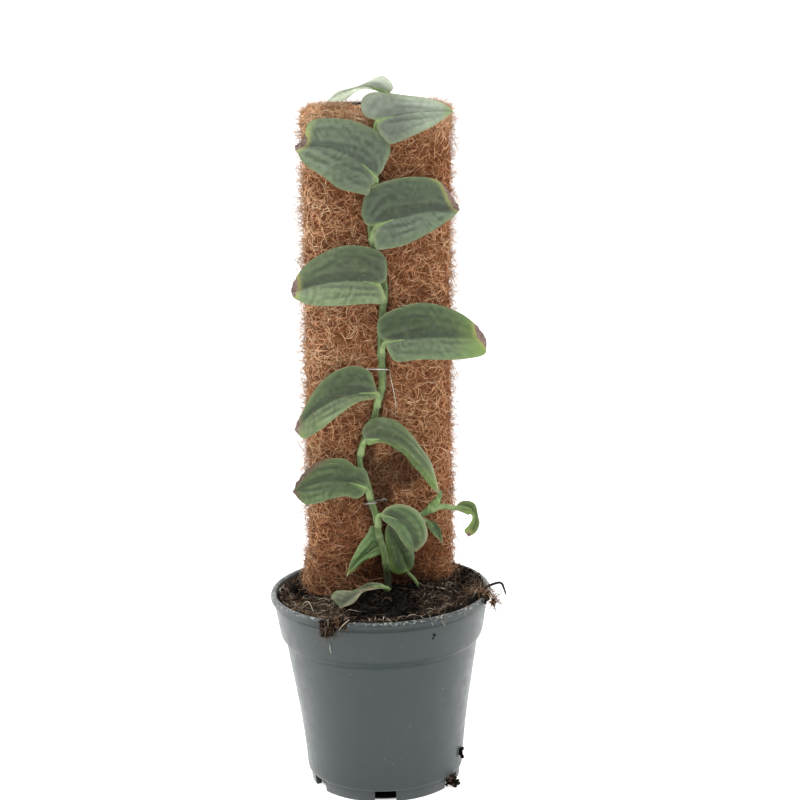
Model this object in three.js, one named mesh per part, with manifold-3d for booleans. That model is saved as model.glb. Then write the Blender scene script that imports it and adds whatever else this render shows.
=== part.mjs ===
// A climbing aroid on a flat coir board, standing in a tapered nursery pot. Millimetres, +Z up.
// The origin is the centre of the pot's foot, on the surface it stands on, and the front faces -Y.
import * as THREE from 'three';
import { mergeVertices } from 'three/addons/utils/BufferGeometryUtils.js';
import Module from 'manifold-3d';

const wasm = await Module();
wasm.setup();

// Clearance between pieces that touch.
const GAP = 0.3;

// Driving dimensions of the pot.
const RIM_RADIUS = 60;
const POT_HEIGHT = 107.4;
const POT_WALL = 1.2;
const POT_SEGMENTS = 48;
const FOOT_RADIUS = 40.8;
const FOOT_HEIGHT = 7;
const FOOT_THICKNESS = 3.2;
const FLOOR_THICKNESS = 1.5;
const NOTCH_COUNT = 6;
const NOTCH_WIDTH = 11.5;
const NOTCH_HEIGHT = 6.6;
const DRAIN_RADIUS = 4;
const DRAIN_RING_RADIUS = 27;

// Driving dimensions of the peat.
const SOIL_LEVEL = 102;
const SOIL_SLOPE = 0.035;
const SOIL_MOUND = 2.2;
const CRUMB_HEIGHT = 0.9;
const SOIL_RADIUS = 55.3;
const SOIL_RINGS = 9;

// Driving dimensions of the coir board. Its frame has x across from the line that the stem follows,
// and y from the front face to the back.
const BOARD_WIDTH = 79;
const BOARD_DEPTH = 22;
const BOARD_CORNER = 9;
const BOARD_BOTTOM = 84;
const BOARD_TOP = 366;
const BOARD_MIDDLE = 1.8;
const BOARD_PLACE = new THREE.Vector3(-2.4, 11.8, 0);
const BOARD_TURN = THREE.MathUtils.degToRad(8);
const BOARD_LEAN = THREE.MathUtils.degToRad(1);
const COIR_RELIEF = 0.7;
const COIR_TOP_ROUNDING = 1.6;
const COIR_RINGS = 16;
const COIR_POINTS = 40;
const CORE_WIDTH = 52;
const CORE_DEPTH = 10;
const CORE_FRONT = 6;
const CORE_CORNER = 2;
const CORE_BOTTOM = 12;
const CORE_TOP = 368;

// Leaf blades.
const BLADE_THICKNESS = 0.7;
const BLADE_CELL = 4;
const BLADE_ROWS = [5, 12];
const BLADE_COLUMNS = [1, 3];
const BLADE_PILLOW = 1.1;
const PILLOW_WIDTH = 8;
const RIB_EASE = 1.5;
const STALK_RADIUS = 1.35;
const STALK_SIDES = 5;

// Tie wires.
const WIRE_RADIUS = 0.35;

// The main stem from the peat to the top, as points in the board's frame with the stem's radius.
const STEM_HOLE_BOTTOM = 85.5;
const STALK_HOLE_BOTTOM = 87.5;
const HOLE_TOP = 130;
const STEM_STEPS = 60;
const STEM_SIDES = 7;
const STEM = [
  [3.4, -8.5, 86, 2], [3.4, -8.5, 104, 2], [3.2, -8.7, 111, 1.9], [2.1, -10.5, 119.5, 1.8],
  [0.4, -11.5, 129.5, 1.8], [-1.6, -10.5, 137, 1.8], [-2.3, -8.5, 144.5, 1.9], [-5.2, -6, 155.5, 1.8],
  [-6.6, -5.2, 163.5, 1.7], [-10.6, -4.5, 175, 1.6], [-10, -4, 184, 1.7], [-2.7, -3.6, 200.5, 1.8],
  [-1, -3.4, 207.5, 1.9], [1.8, -3.3, 217, 2], [1.9, -3.3, 226.5, 2], [1.4, -3.3, 240, 2],
  [2.1, -3.3, 255, 1.9], [3.4, -3.3, 272.5, 1.9], [-3.3, -3.3, 301, 1.8], [-0.9, -3.3, 329.5, 1.7],
  [0, -2.8, 355.5, 1.5], [2.7, -2.4, 366, 1.3],
];

// The side shoot leaves the stem low down, passes behind a leaf and ends in a pointed sheath.
const SIDE_SHOOT = [
  [-2.6, -8, 146.5, 1.3], [1, -5, 146, 1.4], [7, -3.8, 144.5, 1.5], [15, -5, 144, 1.6],
  [23.4, -8.2, 147, 1.7], [29, -8.5, 151.5, 2.2], [31.5, -8.5, 155.5, 1.6], [32.9, -8.5, 159.5, 0.5],
];

// Each leaf, in the board's frame. rib is the midrib's base, middle and tip. upper and lower are
// the margins as [along, across] from the base, where along runs down the midrib to its length.
// roll is how far the blade leans back about its midrib at the base and at the tip, in degrees.
// curl is how far the upper and the lower margin stand forward of the blade's plane. stalk is the
// leaf stalk from where it grows to just short of the base.
const LEAVES = [
  {
    name: 'leaf_00_top', color: 0xa9b9a3, roll: [10, 25], curl: [0, 0],
    rib: [[6.5, -2, 373], [-7, 1, 376.5], [-25, 3, 369.2]],
    upper: [[-0.5, 4], [4, 6.5], [7.5, 6.8], [14, 2.2], [21.5, 0.9], [29, 1.6]],
    lower: [[2.5, -1.5], [6.5, -1.6], [11, -1.4], [16, -1.2], [21.5, -2.4], [28, -4]],
    stalk: [[2.8, -2.4, 365.3]],
  },
  {
    name: 'leaf_01', color: 0x93a38f, roll: [10, 10], curl: [0, 1],
    rib: [[0.5, -8, 359.5], [18, -10, 363.5], [40.5, -7, 363.5]],
    upper: [[-5.5, 5], [-5.5, 11.5], [1, 15], [16.5, 10], [34.5, 5]],
    lower: [[-1.5, -4.5], [2.5, -13], [15.5, -12.5], [30, -8]],
    stalk: [[-0.3, -3, 351]],
  },
  {
    name: 'leaf_02', color: 0x6a7d68, roll: [10, 10], curl: [1.5, 2.5],
    rib: [[-1, -8.5, 330], [-19, -10.5, 344], [-43, -7, 347.5]],
    upper: [[1.5, 7], [5.5, 16], [13.5, 18], [27.5, 16.5], [41, 12.5], [44, 3.5]],
    lower: [[-1, -5.5], [-1.5, -11], [16.5, -18], [40, -12], [47, -3.5]],
    stalk: [[-1.3, -3.3, 321]],
  },
  {
    name: 'leaf_03', color: 0x66785f, roll: [10, 10], curl: [1.5, 2.5],
    rib: [[-0.5, -9, 305], [19, -10.5, 311], [43.5, -7, 312.5]],
    upper: [[-5.2, 3.6], [-3.5, 12], [5.5, 19.5], [22.5, 19.5], [36, 15.5], [42.5, 5.5]],
    lower: [[-3.5, -4.5], [-4.5, -11.5], [12.5, -14.5], [30, -10.5], [41.5, -4]],
    stalk: [[-3, -3.3, 296.5]],
  },
  {
    name: 'leaf_04', color: 0x6b7e66, roll: [12, 12], curl: [1.5, 3],
    rib: [[-0.5, -8.5, 273.5], [-20, -10.5, 276.5], [-46.5, -7, 271]],
    upper: [[-3, 5.5], [1.5, 14.5], [9.5, 18], [24, 18], [37.5, 12.5], [45, 5]],
    lower: [[-3.5, -5], [-3, -9.5], [20, -13], [37.5, -11], [46, -5]],
    stalk: [[2.9, -3.3, 265]],
  },
  {
    name: 'leaf_05', color: 0x6f8464, roll: [12, 14], curl: [1.5, 3],
    rib: [[3.5, -8.5, 242.5], [28.5, -12, 245], [57, -12, 243]],
    upper: [[-3.5, 5.5], [-1, 13], [9, 17], [23.5, 18.5], [39.5, 13.5], [49, 6.5]],
    lower: [[0.5, -5], [4.5, -11], [19, -11.5], [38.5, -12], [53, -8.5]],
    stalk: [[1.5, -3.3, 235]],
  },
  {
    name: 'leaf_06', color: 0x6f8567, roll: [12, 14], curl: [1, 3],
    rib: [[-1.5, -8, 214.5], [-24.5, -11, 213], [-46.5, -11, 197.5]],
    upper: [[2.5, 5.5], [5.5, 12], [14, 15], [26, 12.5], [39.5, 5.5]],
    lower: [[3, -3], [12, -4.5], [28, -8.5], [43, -9.5], [51.5, -6]],
    stalk: [[-1, -3.4, 206.5]],
  },
  {
    name: 'leaf_07', color: 0x6d8a63, roll: [16, 36], curl: [-1, -7],
    rib: [[-8.5, -9, 189], [10.5, -18, 187], [30.5, -20, 161]],
    upper: [[0.5, 6], [7, 11], [18.5, 11.5], [32.5, 8], [46, 5.5]],
    lower: [[-1, -3], [11.5, -1.5], [29, 0], [45.5, 0]],
    stalk: [[-10.4, -4.1, 180.5]],
  },
  {
    name: 'leaf_08', color: 0x667d5d, roll: [12, 12], curl: [1, 2.5],
    rib: [[-8, -8.5, 162.3], [-26.5, -10, 168], [-48, -9, 162.5]],
    upper: [[1, 4.5], [5, 9], [10.2, 9.2], [15.2, 12], [21, 12.2], [28, 10.8], [35.5, 6.5]],
    lower: [[1, -4.5], [5, -7.5], [10.5, -7.5], [16.5, -8.4], [24, -9.6], [32, -10.3], [39, -8.5]],
    stalk: [[-5.6, -5.7, 156.5]],
  },
  {
    name: 'leaf_09', color: 0x6d8a66, roll: [10, 10], curl: [-1, -1],
    rib: [[-1.5, -12.5, 148], [11, -17, 144], [17.5, -18, 128.5]],
    upper: [[4, 5], [9.5, 8.5], [16, 10.5], [22.5, 10], [28.5, 7.5]],
    lower: [[2.5, -3], [10, -5], [22, -6], [29.5, -4]],
    stalk: [[-2, -9.3, 141]],
  },
  {
    name: 'leaf_10', color: 0x64854f, roll: [10, 10], curl: [-1, -1],
    rib: [[0.5, -6.5, 128.5], [-9.5, -7.5, 124], [-19.5, -9, 113]],
    upper: [[1, 6], [2.5, 13], [5.5, 9.5], [13.5, 5.5], [20.5, 3]],
    lower: [[-0.5, -3.5], [6.5, -3.5], [15, -2], [22, -1.5]],
    stalk: [[2, -10.6, 120]],
  },
  {
    name: 'leaf_11', color: 0x3d5232, roll: [0, 0], curl: [-1, -1], stalkRadius: 1,
    rib: [[14.5, -7, 114], [10, -5.5, 127], [4, -5, 141]],
    upper: [[1.5, 3.5], [9, 7], [18, 8.5], [25.5, 6.5]],
    lower: [[0, -5], [4.5, -8.5], [14.5, -7], [24.5, -4]],
    stalk: [[20.3, -5.5, 88], [20.3, -5.5, 97], [20.3, -5.5, 105], [18, -6, 109.5]],
  },
  {
    name: 'leaf_12', color: 0x8e9a86, roll: [60, 10], curl: [0, 0],
    rib: [[2, -12, 107.5], [-11.5, -20.5, 109.5], [-25.5, -32, 103.5]],
    upper: [[2, 1.3], [5, 2], [9, 2.4], [14, 2.6], [20, 2.8], [26.5, 4.5], [32, 8.8], [36.5, 6.5]],
    lower: [[4, -1.6], [10.5, -2.5], [19, -1.7], [28, -3.2]],
    stalk: [[3.4, -8.5, 105]],
  },
  {
    name: 'leaf_13_curled', color: 0x7c9a63, roll: [30, -10], curl: [0, 0],
    rib: [[40.5, -8, 149.5], [51.5, -12, 146.5], [46, -14, 135.5]],
    upper: [[3, 3.5], [8, 4], [14, 3], [20, 4], [24.5, 3]],
    lower: [[2, -2.5], [8, -3.5], [13, -2.5], [19, -3], [23.5, -2.5]],
    stalk: [[26.7, -8.8, 149], [34, -8.4, 150.5]],
  },
  {
    name: 'leaf_14_small', color: 0x647f52, roll: [0, 0], curl: [0, 0],
    rib: [[26, -3.5, 140.6], [31, -4, 136], [34.5, -4, 127.5]],
    upper: [[3, 1.5], [8, 1.5], [12.5, 1]],
    lower: [[3.5, -2.5], [10, -2.5], [13, -1.5]],
    stalk: [[16.5, -5.4, 144], [21.5, -4.2, 142.3]],
  },
];

// Each tie wire runs from one leg over the stem to the other leg.
const TIE_WIRES = [
  {
    name: 'tie_wire_upper',
    path: [
      [-7.5, 3.5, 227], [-7.5, 0.2, 227], [-6.4, -1.8, 227], [-1.8, -4.8, 227.3], [1.7, -6.4, 227.5],
      [4.2, -5.6, 227.1], [5.6, -2.4, 226.4], [5.9, 0.2, 226], [5.9, 3.5, 226],
    ],
  },
  {
    name: 'tie_wire_lower',
    path: [
      [-8.8, 3.5, 154], [-8.8, 0.2, 154], [-8.6, -3.4, 154.2], [-7.6, -7.4, 154.5], [-5.1, -8.8, 154.8],
      [-2.6, -7.7, 155], [0.2, -5.2, 156], [2.8, -2.5, 156], [3.6, 0.2, 154.8], [3.6, 3.5, 154.8],
    ],
  },
];

function material(color, roughness) {
  return new THREE.MeshStandardMaterial({ color, roughness, metalness: 0 });
}

function vectors(points) {
  return points.map((point) => new THREE.Vector3(point[0], point[1], point[2]));
}

// Solids for cutting and joining.

function toSolid(geometry) {
  const bare = geometry.clone();
  bare.deleteAttribute('normal');
  bare.deleteAttribute('uv');
  const merged = mergeVertices(bare, 1e-4);
  const index = Array.from(merged.index.array);
  const kept = [];
  for (let i = 0; i < index.length; i += 3) {
    const [a, b, c] = index.slice(i, i + 3);
    if (a !== b && b !== c && c !== a) {
      kept.push(a, b, c);
    }
  }
  return new wasm.Manifold(new wasm.Mesh({
    numProp: 3,
    vertProperties: new Float32Array(merged.attributes.position.array),
    triVerts: new Uint32Array(kept),
  }));
}

function toGeometry(solid) {
  const mesh = solid.getMesh();
  const geometry = new THREE.BufferGeometry();
  geometry.setAttribute('position', new THREE.BufferAttribute(mesh.vertProperties, 3));
  geometry.setIndex(new THREE.BufferAttribute(mesh.triVerts, 1));
  return geometry;
}

function cut(solid, cutters) {
  return cutters.reduce((rest, cutter) => rest.subtract(toSolid(cutter)), solid);
}

// The main body of a solid, without the scraps that a cut can leave.
function largest(solid) {
  return solid.decompose().sort((a, b) => b.volume() - a.volume())[0];
}

// A closed body through rings of points, with a fan on each end.
function loft(rings) {
  const count = rings[0].length;
  const positions = rings.flat().flatMap((point) => point.toArray());
  const index = [];
  for (let ring = 0; ring + 1 < rings.length; ring += 1) {
    for (let i = 0; i < count; i += 1) {
      const a = ring * count + i;
      const b = ring * count + (i + 1) % count;
      index.push(a, b, b + count, a, b + count, a + count);
    }
  }
  const last = (rings.length - 1) * count;
  const centres = rings.length * count;
  for (const ring of [rings[0], rings[rings.length - 1]]) {
    const centre = new THREE.Vector3();
    ring.forEach((point) => centre.addScaledVector(point, 1 / count));
    positions.push(...centre.toArray());
  }
  for (let i = 0; i < count; i += 1) {
    const next = (i + 1) % count;
    index.push(centres, next, i, centres + 1, last + i, last + next);
  }
  const geometry = new THREE.BufferGeometry();
  geometry.setAttribute('position', new THREE.Float32BufferAttribute(positions, 3));
  geometry.setIndex(index);
  return geometry;
}

// A round tapering body along points of [x, y, z, radius]. grow makes it fatter and longer.
function sweep(points, steps, sides, grow = 0) {
  const curve = new THREE.CatmullRomCurve3(vectors(points));
  const radii = new THREE.CatmullRomCurve3(points.map((point) => new THREE.Vector3(point[3])));
  const frames = curve.computeFrenetFrames(steps, false);
  const rings = [];
  for (let step = 0; step <= steps; step += 1) {
    const share = curve.getUtoTmapping(step / steps);
    const centre = curve.getPoint(share);
    const radius = radii.getPoint(share).x + grow;
    if (step === 0 || step === steps) {
      centre.addScaledVector(frames.tangents[step], step === 0 ? -grow : grow);
    }
    const ring = [];
    for (let side = 0; side < sides; side += 1) {
      const angle = side / sides * 2 * Math.PI;
      ring.push(centre.clone()
        .addScaledVector(frames.normals[step], radius * Math.cos(angle))
        .addScaledVector(frames.binormals[step], radius * Math.sin(angle)));
    }
    rings.push(ring);
  }
  return loft(rings);
}

function cylinder(radius, from, to) {
  const direction = to.clone().sub(from);
  const geometry = new THREE.CylinderGeometry(radius, radius, direction.length(), 12);
  geometry.rotateX(Math.PI / 2);
  const place = new THREE.Matrix4().lookAt(to, from, new THREE.Vector3(0.1, 0.2, 1));
  place.setPosition(from.clone().add(to).multiplyScalar(0.5));
  return geometry.applyMatrix4(place);
}

// Pot.

const POT_OUTSIDE = [
  [FOOT_RADIUS, 0], [41.6, FOOT_HEIGHT], [42.7, 8], [43.7, 20], [46.1, 40], [49.2, 60], [51.2, 72.5],
  [52.4, 80.8], [54.8, 82.7], [55.4, 84], [57.3, 97.5], [57.9, 102.4], [59.6, 103.9],
  [RIM_RADIUS, 105.4], [59.5, 106.9], [58.4, POT_HEIGHT],
];
const POT_LIP_INSIDE = [[57.3, 107.1], [56.8, 106]];
const FLOOR_TOP = FOOT_HEIGHT + FLOOR_THICKNESS;
const INSIDE_START = 3;
const INSIDE_END = 11;

// The pot's outside from above its foot to the rim, moved inward by a distance.
function potInside(distance) {
  const outside = POT_OUTSIDE.map(([radius, height]) => new THREE.Vector2(radius, height));
  const facing = (from, to) => to.clone().sub(from).normalize();
  return outside.slice(INSIDE_START, INSIDE_END).map((point, i) => {
    const before = facing(outside[INSIDE_START + i - 1], point);
    const after = facing(point, outside[INSIDE_START + i + 1]);
    const mitre = before.clone().add(after).multiplyScalar(distance / (1 + before.dot(after)));
    return [point.x - mitre.y, point.y + mitre.x];
  });
}

function potGeometry() {
  const inside = potInside(POT_WALL).reverse();
  const skirt = FOOT_RADIUS - FOOT_THICKNESS;
  const profile = [
    [0, FOOT_HEIGHT], [skirt + 0.4, FOOT_HEIGHT], [skirt, 0], ...POT_OUTSIDE, ...POT_LIP_INSIDE,
    ...inside, [41.6, FLOOR_TOP + 1], [40.9, FLOOR_TOP], [0, FLOOR_TOP],
  ];
  const lathe = new THREE.LatheGeometry(profile.map(([x, y]) => new THREE.Vector2(x, y)), POT_SEGMENTS);
  lathe.rotateX(Math.PI / 2);
  const cutters = [];
  for (let i = 0; i < NOTCH_COUNT; i += 1) {
    const angle = i / NOTCH_COUNT * 2 * Math.PI + Math.PI / 2;
    const notch = new THREE.BoxGeometry(12, NOTCH_WIDTH, 2 * NOTCH_HEIGHT);
    notch.translate(FOOT_RADIUS - FOOT_THICKNESS / 2, 0, 0).rotateZ(angle);
    cutters.push(notch);
    const drain = new THREE.CylinderGeometry(DRAIN_RADIUS, DRAIN_RADIUS, 4 * FLOOR_THICKNESS, 16);
    drain.rotateX(Math.PI / 2).translate(DRAIN_RING_RADIUS, 0, FLOOR_TOP);
    cutters.push(drain.rotateZ(angle + Math.PI / NOTCH_COUNT));
  }
  return toGeometry(cut(toSolid(lathe), cutters));
}

// Peat.

function soilHeight(x, y) {
  const crumbs = Math.sin(0.62 * x + 1.7 * Math.sin(0.31 * y)) * Math.sin(0.57 * y + 1.3)
    + 0.6 * Math.sin(0.93 * x - 0.71 * y);
  const fromBoard = Math.hypot(x - 12, y - 8) / 30;
  return SOIL_LEVEL + SOIL_SLOPE * x + SOIL_MOUND * Math.exp(-fromBoard * fromBoard) + CRUMB_HEIGHT * crumbs;
}

function soilRing(radius, height) {
  const ring = [];
  for (let i = 0; i < POT_SEGMENTS; i += 1) {
    const angle = i / POT_SEGMENTS * 2 * Math.PI;
    const x = radius * Math.cos(angle);
    const y = radius * Math.sin(angle);
    ring.push(new THREE.Vector3(x, y, height ?? soilHeight(x, y)));
  }
  return ring;
}

function soilGeometry(cutters) {
  const rings = [soilRing(40, FLOOR_TOP + GAP)];
  potInside(POT_WALL + GAP).slice(0, -1).forEach(([radius, height]) => rings.push(soilRing(radius, height)));
  for (let ring = SOIL_RINGS; ring > 0; ring -= 1) {
    rings.push(soilRing(SOIL_RADIUS * ring / SOIL_RINGS));
  }
  return toGeometry(cut(toSolid(loft(rings)), cutters));
}

// Coir board and its core.

function roundedRectangle(width, depth, front, corner) {
  const shape = new THREE.Shape();
  const left = BOARD_MIDDLE - width / 2 + corner;
  const right = BOARD_MIDDLE + width / 2 - corner;
  const low = front + corner;
  const high = front + depth - corner;
  shape.absarc(right, low, corner, -Math.PI / 2, 0);
  shape.absarc(right, high, corner, 0, Math.PI / 2);
  shape.absarc(left, high, corner, Math.PI / 2, Math.PI);
  shape.absarc(left, low, corner, Math.PI, 1.5 * Math.PI);
  shape.closePath();
  return shape;
}

function prism(shape, bottom, top) {
  const options = { depth: top - bottom, bevelEnabled: false, curveSegments: 5 };
  return new THREE.ExtrudeGeometry(shape, options).translate(0, 0, bottom);
}

// The prism that leaves room all round a rounded rectangle.
function clearance(width, depth, front, corner, bottom, top) {
  return prism(roundedRectangle(width + 2 * GAP, depth + 2 * GAP, front - GAP, corner), bottom, top);
}

// The fibre surface rises and falls in short slanting ridges, always inside the board's outline.
function coirRelief(x, y, z) {
  const ridges = Math.sin(0.5 * x + 1.9 * Math.sin(0.16 * z) + 0.4 * y) * Math.cos(0.23 * z - 0.3 * x);
  return COIR_RELIEF * (0.5 + 0.5 * ridges);
}

function coirGeometry(wireHoles) {
  const outline = roundedRectangle(BOARD_WIDTH, BOARD_DEPTH, 0, BOARD_CORNER).getSpacedPoints(COIR_POINTS);
  outline.pop();
  const middle = new THREE.Vector2(BOARD_MIDDLE, BOARD_DEPTH / 2);
  const rings = [];
  for (let ring = 0; ring <= COIR_RINGS; ring += 1) {
    const last = ring === COIR_RINGS;
    const share = Math.min(ring / (COIR_RINGS - 1), 1);
    const rounding = last ? COIR_TOP_ROUNDING : 0;
    const height = THREE.MathUtils.lerp(BOARD_BOTTOM, BOARD_TOP - COIR_TOP_ROUNDING, share) + rounding;
    rings.push(outline.map((point) => {
      const across = THREE.MathUtils.lerp(BOARD_MIDDLE, point.x, 0.75);
      const inward = middle.clone().setX(across).sub(point).normalize();
      const depth = coirRelief(point.x, point.y, height) + rounding;
      const placed = point.clone().addScaledVector(inward, depth);
      return new THREE.Vector3(placed.x, placed.y, height);
    }));
  }
  const slot = clearance(CORE_WIDTH, CORE_DEPTH, CORE_FRONT, CORE_CORNER, BOARD_BOTTOM - 5, BOARD_TOP + 5);
  return toGeometry(cut(toSolid(loft(rings)), [slot, ...wireHoles]));
}

// Leaves. A blade is spanned between its midrib and its margins, then given its thickness.

function leafRib(leaf) {
  const [base, middle, tip] = vectors(leaf.rib);
  const control = middle.clone().multiplyScalar(2).addScaledVector(base, -0.5).addScaledVector(tip, -0.5);
  const curve = new THREE.QuadraticBezierCurve3(base, control, tip);
  return { curve, length: curve.getLength(), side: control.x >= base.x ? 1 : -1 };
}

// The midrib's point, the direction of the upper margin and the blade's normal at a station.
function leafFrame(leaf, rib, along) {
  const share = THREE.MathUtils.clamp(along / rib.length, 0, 1);
  const tangent = rib.curve.getTangent(share);
  const point = rib.curve.getPoint(share);
  if (along < 0) {
    point.addScaledVector(tangent, along);
  }
  const normal = new THREE.Vector3(0, -1, 0).addScaledVector(tangent, tangent.y).normalize();
  const across = normal.clone().cross(tangent).multiplyScalar(rib.side);
  const roll = THREE.MathUtils.degToRad(THREE.MathUtils.lerp(leaf.roll[0], leaf.roll[1], share));
  return {
    point,
    across: across.clone().multiplyScalar(Math.cos(roll)).addScaledVector(normal, -Math.sin(roll)),
    normal: normal.clone().multiplyScalar(Math.cos(roll)).addScaledVector(across, Math.sin(roll)),
  };
}

// How many cells a stretch of blade has, within limits.
function cells(reach, [least, most]) {
  return THREE.MathUtils.clamp(Math.round(reach / BLADE_CELL), least, most);
}

function bladePoint(leaf, rib, margin, curl, progress, share) {
  const edge = margin.getPoint(progress);
  const along = THREE.MathUtils.lerp(rib.length * progress ** RIB_EASE, edge.x, share);
  const swell = Math.sqrt(Math.sin(Math.PI * progress));
  const pillow = BLADE_PILLOW * Math.min(1, Math.abs(edge.y) / PILLOW_WIDTH);
  const lift = swell * (4 * pillow * share * (1 - share) + curl * share * share);
  const { point, across, normal } = leafFrame(leaf, rib, along);
  return point.addScaledVector(across, edge.y * share).addScaledVector(normal, lift);
}

function bladeSheet(leaf, rib) {
  const rows = cells(rib.length, BLADE_ROWS);
  const positions = [];
  for (let row = 0; row <= rows; row += 1) {
    const along = rib.length * (row / rows) ** RIB_EASE;
    positions.push(...leafFrame(leaf, rib, along).point.toArray());
  }
  const index = [];
  const rims = [];
  [leaf.upper, leaf.lower].forEach((outline, half) => {
    const ends = [[0, 0], ...outline, [rib.length, 0]];
    const margin = new THREE.SplineCurve(ends.map(([x, y]) => new THREE.Vector2(x, y)));
    const columns = cells(Math.max(...outline.map(([, across]) => Math.abs(across))), BLADE_COLUMNS);
    const start = positions.length / 3;
    for (let row = 1; row < rows; row += 1) {
      for (let column = 1; column <= columns; column += 1) {
        const point = bladePoint(leaf, rib, margin, leaf.curl[half], row / rows, column / columns);
        positions.push(...point.toArray());
      }
    }
    const vertex = (row, column) => (column === 0 || row === 0 || row === rows
      ? row : start + (row - 1) * columns + column - 1);
    for (let row = 0; row < rows; row += 1) {
      for (let column = 0; column < columns; column += 1) {
        const corners = [
          vertex(row, column), vertex(row + 1, column),
          vertex(row + 1, column + 1), vertex(row, column + 1),
        ];
        const turned = (half === 0) === (rib.side > 0) ? corners : corners.reverse();
        [[0, 1, 2], [0, 2, 3]].map((triangle) => triangle.map((corner) => turned[corner]))
          .filter(([a, b, c]) => a !== b && b !== c && c !== a)
          .forEach((triangle) => index.push(...triangle));
      }
    }
    rims.push(Array.from({ length: rows - 1 }, (_, row) => vertex(row + 1, columns)));
  });
  const sheet = new THREE.BufferGeometry();
  sheet.setAttribute('position', new THREE.Float32BufferAttribute(positions, 3));
  sheet.setIndex(index);
  sheet.computeVertexNormals();
  const loop = [0, ...rims[0], rows, ...rims[1].reverse()];
  return { sheet, loop: rib.side > 0 ? loop : loop.reverse() };
}

// Two faces half a thickness either side of a sheet, joined round its rim.
function thicken(sheet, loop, thickness) {
  const place = sheet.attributes.position;
  const normal = sheet.attributes.normal;
  const positions = [];
  for (const side of [0.5, -0.5]) {
    for (let i = 0; i < place.count; i += 1) {
      const offset = new THREE.Vector3().fromBufferAttribute(normal, i).multiplyScalar(side * thickness);
      positions.push(...new THREE.Vector3().fromBufferAttribute(place, i).add(offset).toArray());
    }
  }
  const front = Array.from(sheet.index.array);
  const back = front.map((vertex) => vertex + place.count).reverse();
  const rim = loop.flatMap((a, i) => {
    const b = loop[(i + 1) % loop.length];
    return [a, b, b + place.count, a, b + place.count, a + place.count];
  });
  const geometry = new THREE.BufferGeometry();
  geometry.setAttribute('position', new THREE.Float32BufferAttribute(positions, 3));
  geometry.setIndex([...front, ...back, ...rim]);
  return geometry;
}

// The stalk runs into the blade's back and fades out along the midrib.
function leafStalk(leaf, rib) {
  const under = (along, depth, thickness) => {
    const { point, normal } = leafFrame(leaf, rib, along);
    return [...point.addScaledVector(normal, -depth).toArray(), thickness];
  };
  const radius = leaf.stalkRadius ?? STALK_RADIUS;
  const grown = leaf.stalk.map((point) => [...point, radius]);
  const shared = Math.min(1, rib.length / 30);
  return sweep([
    ...grown, under(-0.5, 1.2, radius * 0.85), under(4 * shared, 0.8, radius * 0.7),
    under(11 * shared, 0.3, 0.4),
  ], 4 + 2 * leaf.stalk.length, STALK_SIDES);
}

function leafGeometry(leaf, growsFrom) {
  const rib = leafRib(leaf);
  const { sheet, loop } = bladeSheet(leaf, rib);
  const blade = toSolid(thicken(sheet, loop, BLADE_THICKNESS));
  return toGeometry(largest(cut(blade.add(toSolid(leafStalk(leaf, rib))), growsFrom)));
}

// Tie wires. Each lies over the stem and its two legs stand in holes in the coir.

function wireGeometry(wire) {
  const section = new THREE.Shape().absarc(0, 0, WIRE_RADIUS, 0, 2 * Math.PI);
  const path = new THREE.CatmullRomCurve3(vectors(wire.path));
  return new THREE.ExtrudeGeometry(section, { extrudePath: path, steps: 24, curveSegments: 3 });
}

function wireHoles(wire) {
  return [wire.path[0], wire.path.at(-1)].map(([x, y, z]) => cylinder(
    WIRE_RADIUS + 2 * GAP,
    new THREE.Vector3(x, -2, z),
    new THREE.Vector3(x, y + GAP, z),
  ));
}

// Assembly.

const group = new THREE.Group();
const board = new THREE.Group();
board.position.copy(BOARD_PLACE);
board.rotation.set(0, BOARD_LEAN, BOARD_TURN, 'ZYX');
board.updateMatrix();
group.add(board);

function add(parent, name, geometry, color, roughness) {
  const mesh = new THREE.Mesh(geometry, material(color, roughness));
  mesh.name = name;
  parent.add(mesh);
}

const fatStem = sweep(STEM, STEM_STEPS, STEM_SIDES, GAP);
const fatShoot = sweep(SIDE_SHOOT, 14, 7, GAP);
const growsFrom = { leaf_13_curled: [fatShoot], leaf_14_small: [fatShoot], leaf_11: [] };

const stemHole = cylinder(
  STEM[0][3] + 2 * GAP,
  new THREE.Vector3(STEM[0][0], STEM[0][1], STEM_HOLE_BOTTOM),
  new THREE.Vector3(STEM[1][0], STEM[1][1], HOLE_TOP),
);
const rooted = LEAVES.find((leaf) => leaf.name === 'leaf_11');
const [[stalkX, stalkY]] = rooted.stalk;
const stalkHole = cylinder(
  rooted.stalkRadius + 3 * GAP,
  new THREE.Vector3(stalkX, stalkY, STALK_HOLE_BOTTOM),
  new THREE.Vector3(stalkX, stalkY, HOLE_TOP),
);
const soilCutters = [
  clearance(BOARD_WIDTH, BOARD_DEPTH, 0, BOARD_CORNER, BOARD_BOTTOM - GAP, HOLE_TOP),
  clearance(CORE_WIDTH, CORE_DEPTH, CORE_FRONT, CORE_CORNER, CORE_BOTTOM - GAP, HOLE_TOP),
  stemHole,
  stalkHole,
].map((cutter) => cutter.applyMatrix4(board.matrix));

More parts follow.
